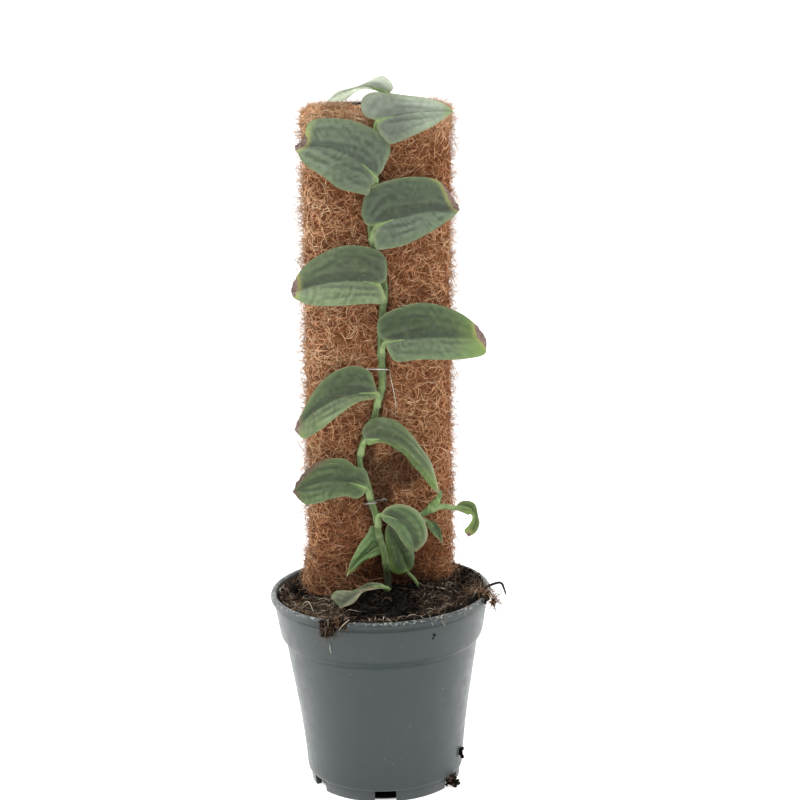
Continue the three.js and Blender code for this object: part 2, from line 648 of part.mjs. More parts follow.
add(group, 'pot', potGeometry(), 0x58605d, 0.5);
add(group, 'soil', soilGeometry(soilCutters), 0x2a2320, 0.95);
const core = roundedRectangle(CORE_WIDTH, CORE_DEPTH, CORE_FRONT, CORE_CORNER);
add(board, 'board_core', prism(core, CORE_BOTTOM, CORE_TOP), 0x26221f, 0.6);
add(board, 'board_coir', coirGeometry(TIE_WIRES.flatMap(wireHoles)), 0x96684b, 0.95);
add(board, 'main_stem', sweep(STEM, STEM_STEPS, STEM_SIDES), 0x6f8a52, 0.5);
add(board, 'side_shoot', toGeometry(cut(toSolid(sweep(SIDE_SHOOT, 14, 7)), [fatStem])), 0x86a06a, 0.5);
for (const leaf of LEAVES) {
  add(board, leaf.name, leafGeometry(leaf, growsFrom[leaf.name] ?? [fatStem]), leaf.color, 0.45);
}
for (const wire of TIE_WIRES) {
  add(board, wire.name, wireGeometry(wire), 0xb9bab6, 0.4);
}

export default group;
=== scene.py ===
"""A climbing aroid on a flat coir board, standing in a nursery pot. The front faces -Y, +Z is up.

Shapes are worked out in millimetres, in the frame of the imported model, and turned to metres as
each mesh is made. Stems, leaves and fibres are placed in the board's own frame.
"""
import math

import bmesh
import bpy
import numpy as np
from mathutils import Matrix, Vector


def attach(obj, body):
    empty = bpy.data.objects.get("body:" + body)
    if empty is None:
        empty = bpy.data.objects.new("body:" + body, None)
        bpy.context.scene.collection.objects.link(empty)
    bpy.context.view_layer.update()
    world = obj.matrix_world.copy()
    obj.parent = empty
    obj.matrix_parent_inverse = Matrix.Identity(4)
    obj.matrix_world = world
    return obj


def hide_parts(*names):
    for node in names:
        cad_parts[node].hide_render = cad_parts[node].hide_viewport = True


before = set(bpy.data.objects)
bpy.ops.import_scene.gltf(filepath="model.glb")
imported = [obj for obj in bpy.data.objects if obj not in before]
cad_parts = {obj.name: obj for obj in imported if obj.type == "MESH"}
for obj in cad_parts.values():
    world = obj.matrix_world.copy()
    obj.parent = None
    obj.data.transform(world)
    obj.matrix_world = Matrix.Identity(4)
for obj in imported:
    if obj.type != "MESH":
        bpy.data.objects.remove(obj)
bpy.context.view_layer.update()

MM = 0.001
WAVE_COUNT = 24
WELD_DISTANCE = 0.004
FLAT_DISTANCE = 0.001
FLOOR_GAP = 0.1
SEEDS = dict(
    crumbs=21, peat_fibres=33, root_tangles=37, coir_tangles=38, coir=41, top=43, fuzz=47, crest=49, frays=53,
)
TURN = 2 * math.pi

# Pot.
RIM_RADIUS = 60.0
POT_WALL = 1.2
POT_SEGMENTS = 128
FOOT_RADIUS = 40.8
FOOT_HEIGHT = 7.0
FOOT_THICKNESS = 3.2
FLOOR_TOP = 8.5
NOTCH_COUNT = 6
NOTCH_WIDTH = 11.5
NOTCH_HEIGHT = 6.6
NOTCH_ROUNDING = 0.9
DRAIN_RADIUS = 4.0
DRAIN_RING_RADIUS = 27.0
MOULD_LINE_HEIGHT = 13.0
MOULD_LINE_WIDTH = 0.35
MOULD_LINE_DEPTH = 0.18
SHARP_ANGLE = math.radians(40)

# Peat.
SOIL_LEVEL = 102.0
SOIL_SLOPE = 0.035
SOIL_MOUND = 2.2
SOIL_MOUND_REACH = 30
SOIL_BANK = 4.2
SOIL_BANK_START = 42
SOIL_RADIUS = 55.9
SOIL_RINGS = 74
SOIL_SEGMENTS = 190
CRUMB_COUNT = 1900
SOIL_FIBRE_COUNT = 2700
CRUMB_TONES = [(0.0, "060403"), (0.5, "1c1510"), (0.8, "443428"), (1.0, "735d49")]
ROOT_TONES = [(0.0, "15100d"), (0.4, "43342a"), (0.75, "84715b"), (1.0, "d4c8b2")]

# Piles of crumbs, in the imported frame: how many, their middle and how far they spread.
CRUMB_PILES = [
    (230, (-21.5, -54.2, 105.8), (5.4, 1.6, 1.2)), (130, (-27.8, -54.0, 103.6), (1.7, 0.7, 2.4)),
    (180, (53.8, -14.0, 106.4), (2.2, 6.5, 1.0)), (18, (60.4, -17.5, 103.0), (0.6, 1.6, 1.8)),
    (80, (36.4, -22.2, 3.4), (1.9, 1.2, 1.3)), (3, (27.2, -50.2, 95.6), (0.5, 0.2, 0.9)),
    (6, (41.8, -15.0, 16.5), (0.3, 0.4, 2.4)),
]

# Coir board, in its own frame: x across, y from the front face to the back.
BOARD_WIDTH = 79.0
BOARD_DEPTH = 22.0
BOARD_CORNER = 9.0
BOARD_BOTTOM = 84.0
BOARD_TOP = 366.0
BOARD_MIDDLE = 1.8
TOP_ROUNDING = 1.6
CROWN_DROP = 3.6
CROWN_WIDTH = 8
BOARD_PLACE = Vector((-2.4, 11.8, 0.0))
BOARD_TURN = math.radians(8)
BOARD_LEAN = math.radians(1)
CORE_WIDTH = 52.0
CORE_DEPTH = 10.0
CORE_FRONT = 6.0
FIBRES_START = 99.0
HALF_BOARD = BOARD_WIDTH / 2
MAT_ROWS = 150
MAT_COLUMNS = 132
FIBRE_STEPS = 5
FRONT_STRANDS = 5600
BACK_STRANDS = 1900
EDGE_STRANDS = 1400
TOP_STRANDS = 1900
CREST_HAIRS = 2400
CREST_STEPS = 3
HAIR_STEPS = 4
HAIR_ZONES = (300, 2100, 2300)
COIR_TONES = [(0.0, "7c4a30"), (0.28, "c07e54"), (0.55, "dfa479"), (0.8, "eab88b"), (1.0, "f2cfa8")]
HAIR_TONES = [(0.0, "8a6549"), (0.5, "bb9370"), (1.0, "e4cbac")]

# Bright lines of the coir mat: their spacing in millimetres, their width and their colour.
COIR_LINES = [(2.6, 0.02, "a56a42"), (3.4, 0.018, "c98858"), (1.9, 0.03, "b8794d"), (4.3, 0.013, "e3b181")]

# Leaves and stems.
BLADE_ROWS = 72
BLADE_COLUMNS = 16
BLADE_THICKNESS = 0.55
BLADE_PILLOW = 1.1
PILLOW_WIDTH = 8.0
RIB_EASE = 1.5
STALK_RADIUS = 1.6
STALK_STEPS = 40
STALK_SIDES = 12
STEM_STEPS = 420
STEM_SIDES = 20
SHOOT_STEPS = 90
WIRE_STEPS = 70
WIRE_SIDES = 10
ROOT_STEPS = 26
ROOT_SIDES = 7
LOOSE_STEPS = 6
WIRE_RADIUS = 0.3

# The photograph's camera, which stands about a metre in front of the pot.
CAMERA_PLACE = Vector((13.06, -1022.74, 444.82))
CAMERA_PITCH = 0.224
CAMERA_ROLL = -0.025
FOCAL_PIXELS = 1967.7
IMAGE_PIXELS = 800
SENSOR_WIDTH = 36.0
LIGHT_AIM = Vector((0, 0, 0.2))

# The main stem from the peat to the top, with its radius, in the board's frame.
STEM = [
    (3.4, -8.5, 86, 2), (3.4, -8.5, 104, 2), (3.2, -8.7, 111, 1.9), (2.1, -10.5, 119.5, 1.8),
    (0.4, -11.5, 129.5, 1.8), (-1.6, -10.5, 137, 1.8), (-2.3, -8.5, 144.5, 1.9), (-5.2, -6, 155.5, 1.8),
    (-6.6, -5.2, 163.5, 1.7), (-10.6, -4.5, 175, 1.6), (-10, -4, 184, 1.7), (-2.7, -3.6, 200.5, 1.8),
    (-1, -3.4, 207.5, 1.9), (1.8, -3.3, 217, 2), (1.9, -3.3, 226.5, 2), (1.4, -3.3, 240, 2),
    (2.1, -3.3, 255, 1.9), (3.4, -3.3, 272.5, 1.9), (-3.3, -3.3, 301, 1.8), (-0.9, -3.3, 329.5, 1.7),
    (0, -2.8, 355.5, 1.5), (2.7, -2.4, 366, 1.3),
]

# Heights of the stem's nodes, where a leaf stalk leaves it.
STEM_NODES = [112, 122, 136, 144, 158, 181, 208, 235, 264, 296, 321, 351]

# The side shoot leaves the stem low down and ends in a pointed sheath. Its nodes are heights too.
SHOOT_NODES = [137, 150]
SIDE_SHOOT = [
    (-2.6, -8, 146.5, 1.3), (1, -5, 146, 1.4), (7, -3.8, 144.5, 1.5), (15, -5, 144, 1.6),
    (23.4, -8.2, 147, 1.7), (29, -8.5, 151.5, 2.2), (31.5, -8.5, 155.5, 1.6), (32.9, -8.5, 159.5, 0.5),
]

# Each leaf, in the board's frame. rib is the midrib's base, middle and tip. upper and lower are
# the margins as (along, across) from the base. roll is the blade's lean about its midrib at the
# base and at the tip, in degrees, and curl is how far each margin stands forward. stalk runs from
# where it grows to just short of the base. colors are the upper half's and the lower half's, with
# painted light in them: on most leaves the upper half, which faces down, is painted darker and the
# lower half, which faces up, lighter, as painted shade and light.
# burns are scorched stretches of margin: half, middle and reach as shares of the margin's length,
# and width. pales are stretches tinted with the colour pale, in the same form. glow is how far a
# yellow-green tint reaches back from the tip, and collar is the size of the one at the base.
# contrast is how strongly the painted shade and light of the folds show, and tints are other
# colours for the material.
LEAF_DEFAULTS = dict(
    roll=(10, 10), curl=(0, 0), burns=[], pales=[], glow=1, collar=(1.7, 7), contrast=1, tints={},
    stalk_radius=STALK_RADIUS, slot="leaf_green",
)
LEAVES = {
    "leaf_00_top": dict(
        roll=(10, 25), rib=[(6.5, -2, 373), (-7, 1, 376.5), (-25, 3, 369.2)],
        upper=[(-0.5, 4), (4, 6.5), (7.5, 6.8), (14, 2.2), (21.5, 0.9), (29, 1.6)],
        lower=[(2.5, -1.5), (6.5, -1.6), (11, -1.4), (16, -1.2), (21.5, -2.4), (28, -4)],
        stalk=[(2.8, -2.4, 365.3)], colors=("bcc5b1", "bcc6ab"), glow=2, contrast=0.5, slot="leaf_pale",
        tints=dict(margin="b0ba9b", rim="b7c1a4"),
    ),
    "leaf_01": dict(
        curl=(0, 1), rib=[(0.5, -8, 359.5), (18, -10, 363.5), (40.5, -7, 363.5)],
        upper=[(-5.5, 5), (-5.5, 11.5), (1, 15), (16.5, 10), (34.5, 5)],
        lower=[(-1.5, -4.5), (2.5, -13), (15.5, -12.5), (30, -8)],
        stalk=[(-0.3, -3, 351)], colors=("8f9886", "78826f"), glow=6, contrast=0.45, slot="leaf_pale",
        tints=dict(rim="7f9168", run=(0.6, 1.26)),
    ),
    "leaf_02": dict(
        curl=(1.5, 2.5), rib=[(-1, -8.5, 330), (-19, -10.5, 344), (-43, -7, 347.5)],
        upper=[(1.5, 7), (5.5, 16), (13.5, 18), (27.5, 16.5), (41, 12.5), (44, 3.5)],
        lower=[(-1, -5.5), (-1.5, -11), (16.5, -18), (40, -12), (47, -3.5)],
        stalk=[(-1.3, -3.3, 321)], colors=("57634e", "59654f"), slot="leaf_grey_green",
        burns=[("upper", 0.94, 0.13, 3.0), ("lower", 0.99, 0.08, 1.7)], glow=3,
        pales=[("upper", 0.8, 0.11, 2.2)], tints=dict(pale="8d9a63"),
    ),
    "leaf_03": dict(
        curl=(1.5, 2.5), rib=[(-0.5, -9, 305), (19, -10.5, 311), (43.5, -7, 312.5)],
        upper=[(-5.2, 3.6), (-3.5, 12), (5.5, 19.5), (22.5, 19.5), (36, 15.5), (42.5, 5.5)],
        lower=[(-3.5, -4.5), (-4.5, -11.5), (12.5, -14.5), (30, -10.5), (41.5, -4)],
        stalk=[(-3, -3.3, 296.5)], colors=("46513c", "596650"), slot="leaf_grey_green",
        burns=[("upper", 0.9, 0.18, 2.3), ("lower", 1, 0.05, 1.6)], glow=2,
    ),
    "leaf_04": dict(
        roll=(12, 12), curl=(1.5, 3), rib=[(-0.5, -8.5, 273.5), (-20, -10.5, 276.5), (-46.5, -7, 271)],
        upper=[(-3, 5.5), (1.5, 14.5), (9.5, 18), (24, 18), (37.5, 12.5), (45, 5)],
        lower=[(-3.5, -5), (-3, -9.5), (20, -13), (37.5, -11), (46, -5)],
        stalk=[(2.9, -3.3, 265)], colors=("485339", "677654"), slot="leaf_grey_green",
        burns=[("upper", 0.94, 0.12, 2.6), ("lower", 1, 0.13, 2.2)], glow=3,
    ),
    "leaf_05": dict(
        roll=(12, 14), curl=(1.5, 3), rib=[(3.5, -8.5, 242.5), (28.5, -12, 245), (57, -12, 243)],
        upper=[(-3.5, 5.5), (-1, 13), (9, 17), (23.5, 18.5), (39.5, 13.5), (49, 6.5)],
        lower=[(0.5, -5), (4.5, -11), (19, -11.5), (38.5, -12), (53, -8.5)],
        stalk=[(1.5, -3.3, 235)], colors=("404e31", "5a6a4a"), slot="leaf_grey_green",
        burns=[("upper", 0.95, 0.12, 3.4), ("lower", 1, 0.1, 2.6)], glow=17,
    ),
    "leaf_06": dict(
        roll=(12, 14), curl=(1, 3), rib=[(-1.5, -8, 214.5), (-24.5, -11, 213), (-46.5, -11, 197.5)],
        upper=[(2.5, 5.5), (5.5, 12), (14, 15), (26, 12.5), (39.5, 5.5)],
        lower=[(3, -3), (12, -4.5), (28, -8.5), (43, -9.5), (51.5, -6)],
        stalk=[(-1, -3.4, 206.5)], colors=("445133", "5f6d49"), slot="leaf_grey_green",
        burns=[("upper", 0.98, 0.06, 2), ("lower", 0.98, 0.07, 2)], glow=2,
        tints=dict(border="7b6f50"),
    ),
    "leaf_07": dict(
        roll=(16, 36), curl=(-1, -7), rib=[(-8.5, -9, 189), (10.5, -18, 187), (30.5, -20, 161)],
        upper=[(0.5, 6), (7, 11), (18.5, 11.5), (32.5, 8), (46, 5.5)],
        lower=[(-1, -3), (11.5, -1.5), (29, 0), (45.5, 0)],
        stalk=[(-10.4, -4.1, 180.5)], colors=("4b5836", "8ea368"), glow=13,
        pales=[("lower", 1, 0.04, 1.2), ("upper", 0.95, 0.12, 0.2)],
        tints=dict(pale="a08f7c", margin="758f55"),
    ),
    "leaf_08": dict(
        roll=(12, 12), curl=(1, 2.5), rib=[(-8, -8.5, 162.3), (-26.5, -10, 168), (-48, -9, 162.5)],
        upper=[(1, 4.5), (5, 9), (10.2, 9.2), (15.2, 12), (21, 12.2), (28, 10.8), (35.5, 6.5)],
        lower=[(1, -4.5), (5, -7.5), (10.5, -7.5), (16.5, -8.4), (24, -9.6), (32, -10.3), (39, -8.5)],
        stalk=[(-5.6, -5.7, 156.5)], colors=("445430", "4a5b36"), collar=(2.2, 12),
        burns=[("upper", 0.82, 0.16, 2.0), ("lower", 1, 0.08, 1.7)],
        tints=dict(border="59532f", scorch=("2e221b", "584537", "86705f")),
    ),
    "leaf_09": dict(
        curl=(-1, -1), rib=[(-1.5, -12.5, 148), (11, -17, 144), (17.5, -18, 128.5)],
        upper=[(4, 5), (9.5, 8.5), (16, 10.5), (22.5, 10), (28.5, 7.5)],
        lower=[(2.5, -3), (10, -5), (22, -6), (29.5, -4)],
        stalk=[(-2, -9.3, 141)], colors=("4d6138", "526740"),
        pales=[("upper", 0.88, 0.2, 0.6), ("upper", 0.5, 0.2, 0.1)], tints=dict(pale="a8987c"),
    ),
    "leaf_10": dict(
        curl=(-1, -1), rib=[(0.5, -6.5, 128.5), (-9.5, -7.5, 124), (-19.5, -9, 113)],
        upper=[(1, 6), (2.5, 13), (5.5, 9.5), (13.5, 5.5), (20.5, 3)],
        lower=[(-0.5, -3.5), (6.5, -3.5), (15, -2), (22, -1.5)],
        stalk=[(2, -10.6, 120)], colors=("5f7c44", "6c894d"),
        burns=[("lower", 0.9, 0.1, 0.6)], glow=4, contrast=0.55,
    ),
    "leaf_11": dict(
        roll=(0, 0), curl=(-1, -1), rib=[(14.5, -7, 114), (10, -5.5, 127), (4, -5, 141)],
        upper=[(1.5, 3.5), (9, 7), (18, 8.5), (25.5, 6.5)],
        lower=[(0, -5), (4.5, -8.5), (14.5, -7), (24.5, -4)],
        stalk=[(20.3, -5.5, 88), (20.3, -5.5, 97), (20.3, -5.5, 105), (18, -6, 109.5)],
        colors=("536739", "4f6437"), stalk_radius=1.0, slot="leaf_dark",
        pales=[("lower", 0.35, 0.5, 1.7)], tints=dict(pale="7f9c4b"), glow=0,
    ),
    "leaf_12": dict(
        roll=(60, 10), rib=[(2, -12, 107.5), (-11.5, -20.5, 109.5), (-25.5, -32, 103.5)],
        upper=[(2, 1.3), (5, 2), (9, 2.4), (14, 2.4), (20, 2), (26.5, 3.4), (32, 8.4), (36.5, 6.5)],
        lower=[(4, -1.4), (10.5, -1.6), (19, -1), (28, -3)],
        stalk=[(3.4, -8.5, 105)], colors=("61674f", "5f664d"), slot="leaf_pale",
        pales=[("lower", 0.55, 0.45, 1.0)], tints=dict(pale="ab9a80"), glow=0,
    ),
    "leaf_13_curled": dict(
        roll=(30, -10), rib=[(40.5, -8, 149.5), (51, -12, 147), (47, -14, 134.3)],
        upper=[(3, 3.3), (8, 3.8), (12.5, 1.7), (16, 1.5), (20, 2.9), (24, 2.2)],
        lower=[(2, -2.5), (8, -3.8), (13, -2.4), (18, -2.2), (22, -2.9), (25, -3.6)],
        stalk=[(26.7, -8.8, 149), (34, -8.4, 150.5)], colors=("566b22", "647c30"),
        burns=[("lower", 1, 0.09, 1.5), ("upper", 1, 0.05, 1)],
    ),
    "leaf_14_small": dict(
        roll=(0, 0), rib=[(26, -3.5, 140.6), (31, -4, 136), (34.5, -4, 127.5)],
        upper=[(2.5, 2), (7.5, 2.4), (12, 1.4)],
        lower=[(3, -2.4), (9, -2.8), (12.5, -1.6)],
        stalk=[(16.5, -5.4, 144), (21.5, -4.2, 142.3)], colors=("566f40", "5b7444"), glow=4,
    ),
}

TIE_WIRES = {
    "tie_wire_upper": [
        (-7.5, 3.5, 227), (-7.5, 0.2, 227), (-6.4, -1.8, 227), (-1.8, -4.8, 227.3), (1.7, -6.4, 227.5),
        (4.2, -5.6, 227.1), (5.6, -2.4, 226.4), (5.9, 0.2, 226), (5.9, 3.5, 226),
    ],
    "tie_wire_lower": [
        (-8.2, 3.5, 151.8), (-8.2, 0.2, 151.8), (-8, -3.2, 152.4), (-7.3, -7.2, 153.7), (-5.1, -8.8, 154.2),
        (-2.9, -7.4, 154), (-2.2, -3.5, 153.4), (-1.4, 0.6, 153.2), (-0.3, -0.8, 153.6), (0.6, -2.4, 154),
        (2.9, -2.6, 154.7), (3.9, -1.6, 153.4), (4.3, 0.4, 152.2), (4.3, 3.5, 152.2),
    ],
}

BOARD = (
    Matrix.Translation(BOARD_PLACE)
    @ Matrix.Rotation(BOARD_TURN, 4, "Z")
    @ Matrix.Rotation(BOARD_LEAN, 4, "Y")
)


def from_board(points):
    """Points of the board's frame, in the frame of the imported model."""
    return points @ np.array(BOARD.to_3x3()).T + np.array(BOARD.translation)


# Meshes

def srgb(code):
    """The linear colour of a hexadecimal one."""
    shares = [int(code[i:i + 2], 16) / 255 for i in (0, 2, 4)]
    linear = [s / 12.92 if s <= 0.04045 else ((s + 0.055) / 1.055) ** 2.4 for s in shares]
    return (*linear, 1.0)


def unit(vectors):
    return vectors / np.maximum(np.linalg.norm(vectors, axis=-1, keepdims=True), 1e-9)


def hill(x, width, y=0, depth=1):
    """1 in its middle, falling off smoothly to 0 within about twice its width."""
    return np.exp(-((x / width) ** 2) - (y / depth) ** 2)


def ring_angles(count):
    return np.arange(count) / count * TURN


def around(radius, angles, height):
    """Points round the upright axis."""
    x, y = radius * np.cos(angles), radius * np.sin(angles)
    return np.stack([x, y, height + 0 * x], -1)


def arch(steps):
    """Goes from 0 up to 1 and back to 0."""
    return np.sin(np.linspace(0, math.pi, steps))[None]


def grid_faces(rows, columns, wrap=False):
    """Two triangles for each cell of a grid of points."""
    cells = columns if wrap else columns - 1
    row, column = np.meshgrid(np.arange(rows - 1), np.arange(cells), indexing="ij")
    a = row * columns + column
    b = row * columns + (column + 1) % columns
    triangles = [np.stack([a, b, b + columns], -1), np.stack([a, b + columns, a + columns], -1)]
    return np.concatenate([t.reshape(-1, 3) for t in triangles])


def mesh_object(name, points, faces, material, attributes=None, weld=False):
    """A mesh from points in millimetres and triangles. attributes holds a number for each point."""
    mesh = bpy.data.meshes.new(name)
    mesh.vertices.add(len(points))
    mesh.vertices.foreach_set("co", np.ravel(points * MM).astype(np.float32))
    mesh.loops.add(faces.size)
    mesh.loops.foreach_set("vertex_index", faces.ravel().astype(np.int32))
    mesh.polygons.add(len(faces))
    mesh.polygons.foreach_set("loop_start", np.arange(0, faces.size, 3, dtype=np.int32))
    for key, values in (attributes or {}).items():
        layer = mesh.attributes.new(key, "FLOAT", "POINT")
        layer.data.foreach_set("value", np.ravel(values).astype(np.float32))
    mesh.update(calc_edges=True)
    mesh.shade_smooth()
    if weld:
        weld_points(mesh)
    mesh.materials.append(material)
    made = bpy.data.objects.new(name, mesh)
    bpy.context.scene.collection.objects.link(made)
    return made


def weld_points(mesh):
    """Joins points that lie together and drops the faces that this flattens."""
    work = bmesh.new()
    work.from_mesh(mesh)
    bmesh.ops.remove_doubles(work, verts=work.verts, dist=WELD_DISTANCE * MM)
    bmesh.ops.dissolve_degenerate(work, edges=work.edges, dist=FLAT_DISTANCE * MM)
    work.to_mesh(mesh)
    work.free()


def place(piece, node=None):
    """Puts a finished piece under the root body, and hides the imported part that it replaces."""
    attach(piece, "root")
    if node:
        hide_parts(node)


def tubes(paths, radii, sides):
    """Closed tubes along n paths of k points each: their points and triangles."""
    count, steps = radii.shape
    tangents = unit(np.gradient(paths, axis=1))
    helper = np.where(np.abs(tangents[:, :1, 2:]) > 0.8, [1.0, 0.0, 0.0], [0.0, 0.0, 1.0])
    normal = unit(np.cross(tangents[:, 0], helper[:, 0]))
    normals = []
    for step in range(steps):
        tangent = tangents[:, step]
        normal = unit(normal - tangent * np.sum(normal * tangent, axis=1, keepdims=True))
        normals.append(normal)
    normals = np.stack(normals, axis=1)
    binormals = np.cross(tangents, normals)
    angles = ring_angles(sides)[:, None]
    ring = np.cos(angles) * normals[:, :, None] + np.sin(angles) * binormals[:, :, None]
    points = (paths[:, :, None] + radii[:, :, None, None] * ring).reshape(-1, 3)
    fan = np.array([(0, i + 1, i) for i in range(1, sides - 1)])
    one = np.concatenate([grid_faces(steps, sides, wrap=True), fan, fan[:, ::-1] + (steps - 1) * sides])
    faces = one[None] + (np.arange(count) * steps * sides)[:, None, None]
    return points, faces.reshape(-1, 3)


def place_tubes(name, paths, radii, material, slot, sides=3, replaced=None, **reads):
    """Tubes as one piece. reads are numbers for its material, one for each path or path point."""
    points, faces = tubes(paths, radii, sides)
    points[:, 2] = np.maximum(points[:, 2], FLOOR_GAP)
    attributes = {key: np.repeat(values.ravel(), len(points) // values.size) for key, values in reads.items()}
    place(mesh_object(name, points, faces, material, attributes), replaced)


def joined(groups):
    """Each column of the groups as one array."""
    return [np.concatenate(column) for column in zip(*groups)]


def even_curve(points, shares):
    """Places at shares, from 0 to 1, of a Catmull-Rom curve whose points lie at even shares."""
    points = np.asarray(points, float)
    last = len(points) - 1
    station = np.clip(shares, 0, 1) * last
    start = np.minimum(station.astype(int), last - 1)
    t = (station - start)[:, None]
    a, b = points[np.maximum(start - 1, 0)], points[start]
    c, d = points[start + 1], points[np.minimum(start + 2, last)]
    leave, arrive = (c - a) / 2, (d - b) / 2
    return b + leave * t + (3 * (c - b) - 2 * leave - arrive) * t**2 + (2 * (b - c) + leave + arrive) * t**3


def smooth_path(points, count):
    """count points, evenly spaced, on a rounded curve through points that may have a radius."""
    points = np.asarray(points, float)
    ends = [2 * points[0] - points[1], 2 * points[-1] - points[-2]]
    chain = np.concatenate([ends[:1], points, ends[1:]])
    gaps = np.linalg.norm(np.diff(chain[:, :3], axis=0), axis=1)[:, None] ** 0.5
    t = np.linspace(0, 1, 24, endpoint=False)[:, None]
    dense = []
    for i in range(1, len(points)):
        a, b, c, d = chain[i - 1:i + 3]
        before, here, after = gaps[i - 1:i + 2]
        leave = ((b - a) / before - (c - a) / (before + here) + (c - b) / here) * here
        arrive = ((c - b) / here - (d - b) / (here + after) + (d - c) / after) * here
        cubic = 3 * (c - b) - 2 * leave - arrive
        dense.append(b + leave * t + cubic * t**2 + (2 * (b - c) + leave + arrive) * t**3)
    dense = np.concatenate([*dense, points[-1:]])
    reach = np.concatenate([[0], np.cumsum(np.linalg.norm(np.diff(dense[:, :3], axis=0), axis=1))])
    even = np.linspace(0, reach[-1], count)
    return np.stack([np.interp(even, reach, column) for column in dense.T], axis=1)


def waves(places, size, seed):
    """A smooth random field of about -1 to 1 at places, with bumps about size apart."""
    rng = np.random.default_rng(seed)
    directions = unit(rng.normal(size=(WAVE_COUNT, places.shape[-1])))
    lengths = rng.uniform(0.7, 1.5, WAVE_COUNT) * math.pi / size
    phases = rng.uniform(0, TURN, WAVE_COUNT)
    total = np.zeros(places.shape[:-1])
    for direction, length, phase in zip(directions, lengths, phases):
        total += np.sin(places @ direction * length + phase)
    return total / math.sqrt(WAVE_COUNT)


# Materials

class Look:
    """A material whose node tree is built call by call. color is its colour so far."""

    def __init__(self, name):
        self.material = bpy.data.materials.new(name)
        self.material.use_nodes = True
        self.nodes = self.material.node_tree.nodes
        self.links = self.material.node_tree.links
        self.inputs = self.nodes["Principled BSDF"].inputs
        self.places = self.nodes.new("ShaderNodeTexCoord").outputs["Object"]

    def feed(self, socket, value):
        """Sets a socket to another one's output, a number or a hexadecimal colour."""
        if isinstance(value, bpy.types.NodeSocket):
            self.links.new(value, socket)
        else:
            socket.default_value = srgb(value) if isinstance(value, str) else value

    def node(self, kind, inputs, output=0, **settings):
        """Adds a node, sets it up and returns one of its outputs."""
        node = self.nodes.new("ShaderNode" + kind)
        for key, value in settings.items():
            setattr(node, key, value)
        for key, value in inputs.items():
            self.feed(node.inputs[key], value)
        return node.outputs[output]

    def attribute(self, name):
        return self.node("Attribute", {}, "Fac", attribute_name=name)

    def noise(self, size, detail, roughness=0.5, places=None, distortion=0.0):
        """Noise with features about size millimetres across."""
        inputs = {"Vector": places or self.places, "Scale": 1 / (size * MM), "Detail": detail}
        return self.node("TexNoise", {**inputs, "Roughness": roughness, "Distortion": distortion}, "Fac")

    def cells(self, size):
        """Distance to the nearest of points about size millimetres apart."""
        return self.node("TexVoronoi", {"Vector": self.places, "Scale": 1 / (size * MM)}, "Distance")

    def upright(self, stretch):
        """The object's places, with heights times stretch."""
        return self.node("Mapping", {"Vector": self.places, "Scale": (1, 1, stretch)}, "Vector")

    def axis(self, name):
        return self.node("SeparateXYZ", {"Vector": self.places}, name)

    def radius(self):
        """Distance from the pot's axis."""
        x, y = self.axis("X"), self.axis("Y")
        return self.math("SQRT", self.plus(self.times(x, x), self.times(y, y)))

    def math(self, operation, a, b=0.0):
        return self.node("Math", {0: a, 1: b}, operation=operation)

    def plus(self, a, b):
        return self.math("ADD", a, b)

    def times(self, a, b):
        return self.math("MULTIPLY", a, b)

    def fade(self, value, start, end, low=0.0, high=1.0):
        """Goes smoothly from low to high as value goes from start to end."""
        inputs = {"Value": value, "From Min": start, "From Max": end, "To Min": low, "To Max": high}
        return self.node("MapRange", inputs, "Result", interpolation_type="SMOOTHSTEP")

    def varied(self, size, detail, low, high):
        """Wanders between low and high."""
        return self.fade(self.noise(size, detail), 0.3, 0.7, low, high)

    def mix(self, factor, a, b, mode="MIX"):
        return self.node("Mix", {0: factor, 6: a, 7: b}, 2, data_type="RGBA", blend_type=mode)

    def ramp(self, factor, stops):
        """A colour ramp through (place, hexadecimal colour) stops."""
        color = self.node("ValToRGB", {"Fac": factor}, "Color")
        elements = color.node.color_ramp.elements
        while len(elements) < len(stops):
            elements.new(0.5)
        for element, (position, code) in zip(elements, stops):
            element.position = position
            element.color = srgb(code)
        return color

    def paint(self, factor, color):
        """Covers the colour so far with color where factor is 1."""
        self.color = self.mix(factor, self.color, color)

    def shade(self, factor, low, high):
        """Multiplies the colour so far by a grey that goes from low to high with factor."""
        grey = self.fade(factor, 0.25, 0.75, low, high)
        color = self.node("CombineColor", {channel: grey for channel in range(3)}, "Color")
        self.color = self.mix(1.0, self.color, color, "MULTIPLY")

    def bump(self, height, depth, strength=1.0):
        """Relief of depth millimetres. Calls stack up."""
        inputs = {"Height": height, "Distance": depth * MM, "Strength": strength}
        for link in self.inputs["Normal"].links:
            inputs["Normal"] = link.from_socket
        self.feed(self.inputs["Normal"], self.node("Bump", inputs, "Normal"))

    def finish(self, roughness, specular, metallic=0.0):
        self.feed(self.inputs["Base Color"], self.color)
        self.feed(self.inputs["Roughness"], roughness)
        self.feed(self.inputs["Specular IOR Level"], specular)
        self.feed(self.inputs["Metallic"], metallic)
        return self.material


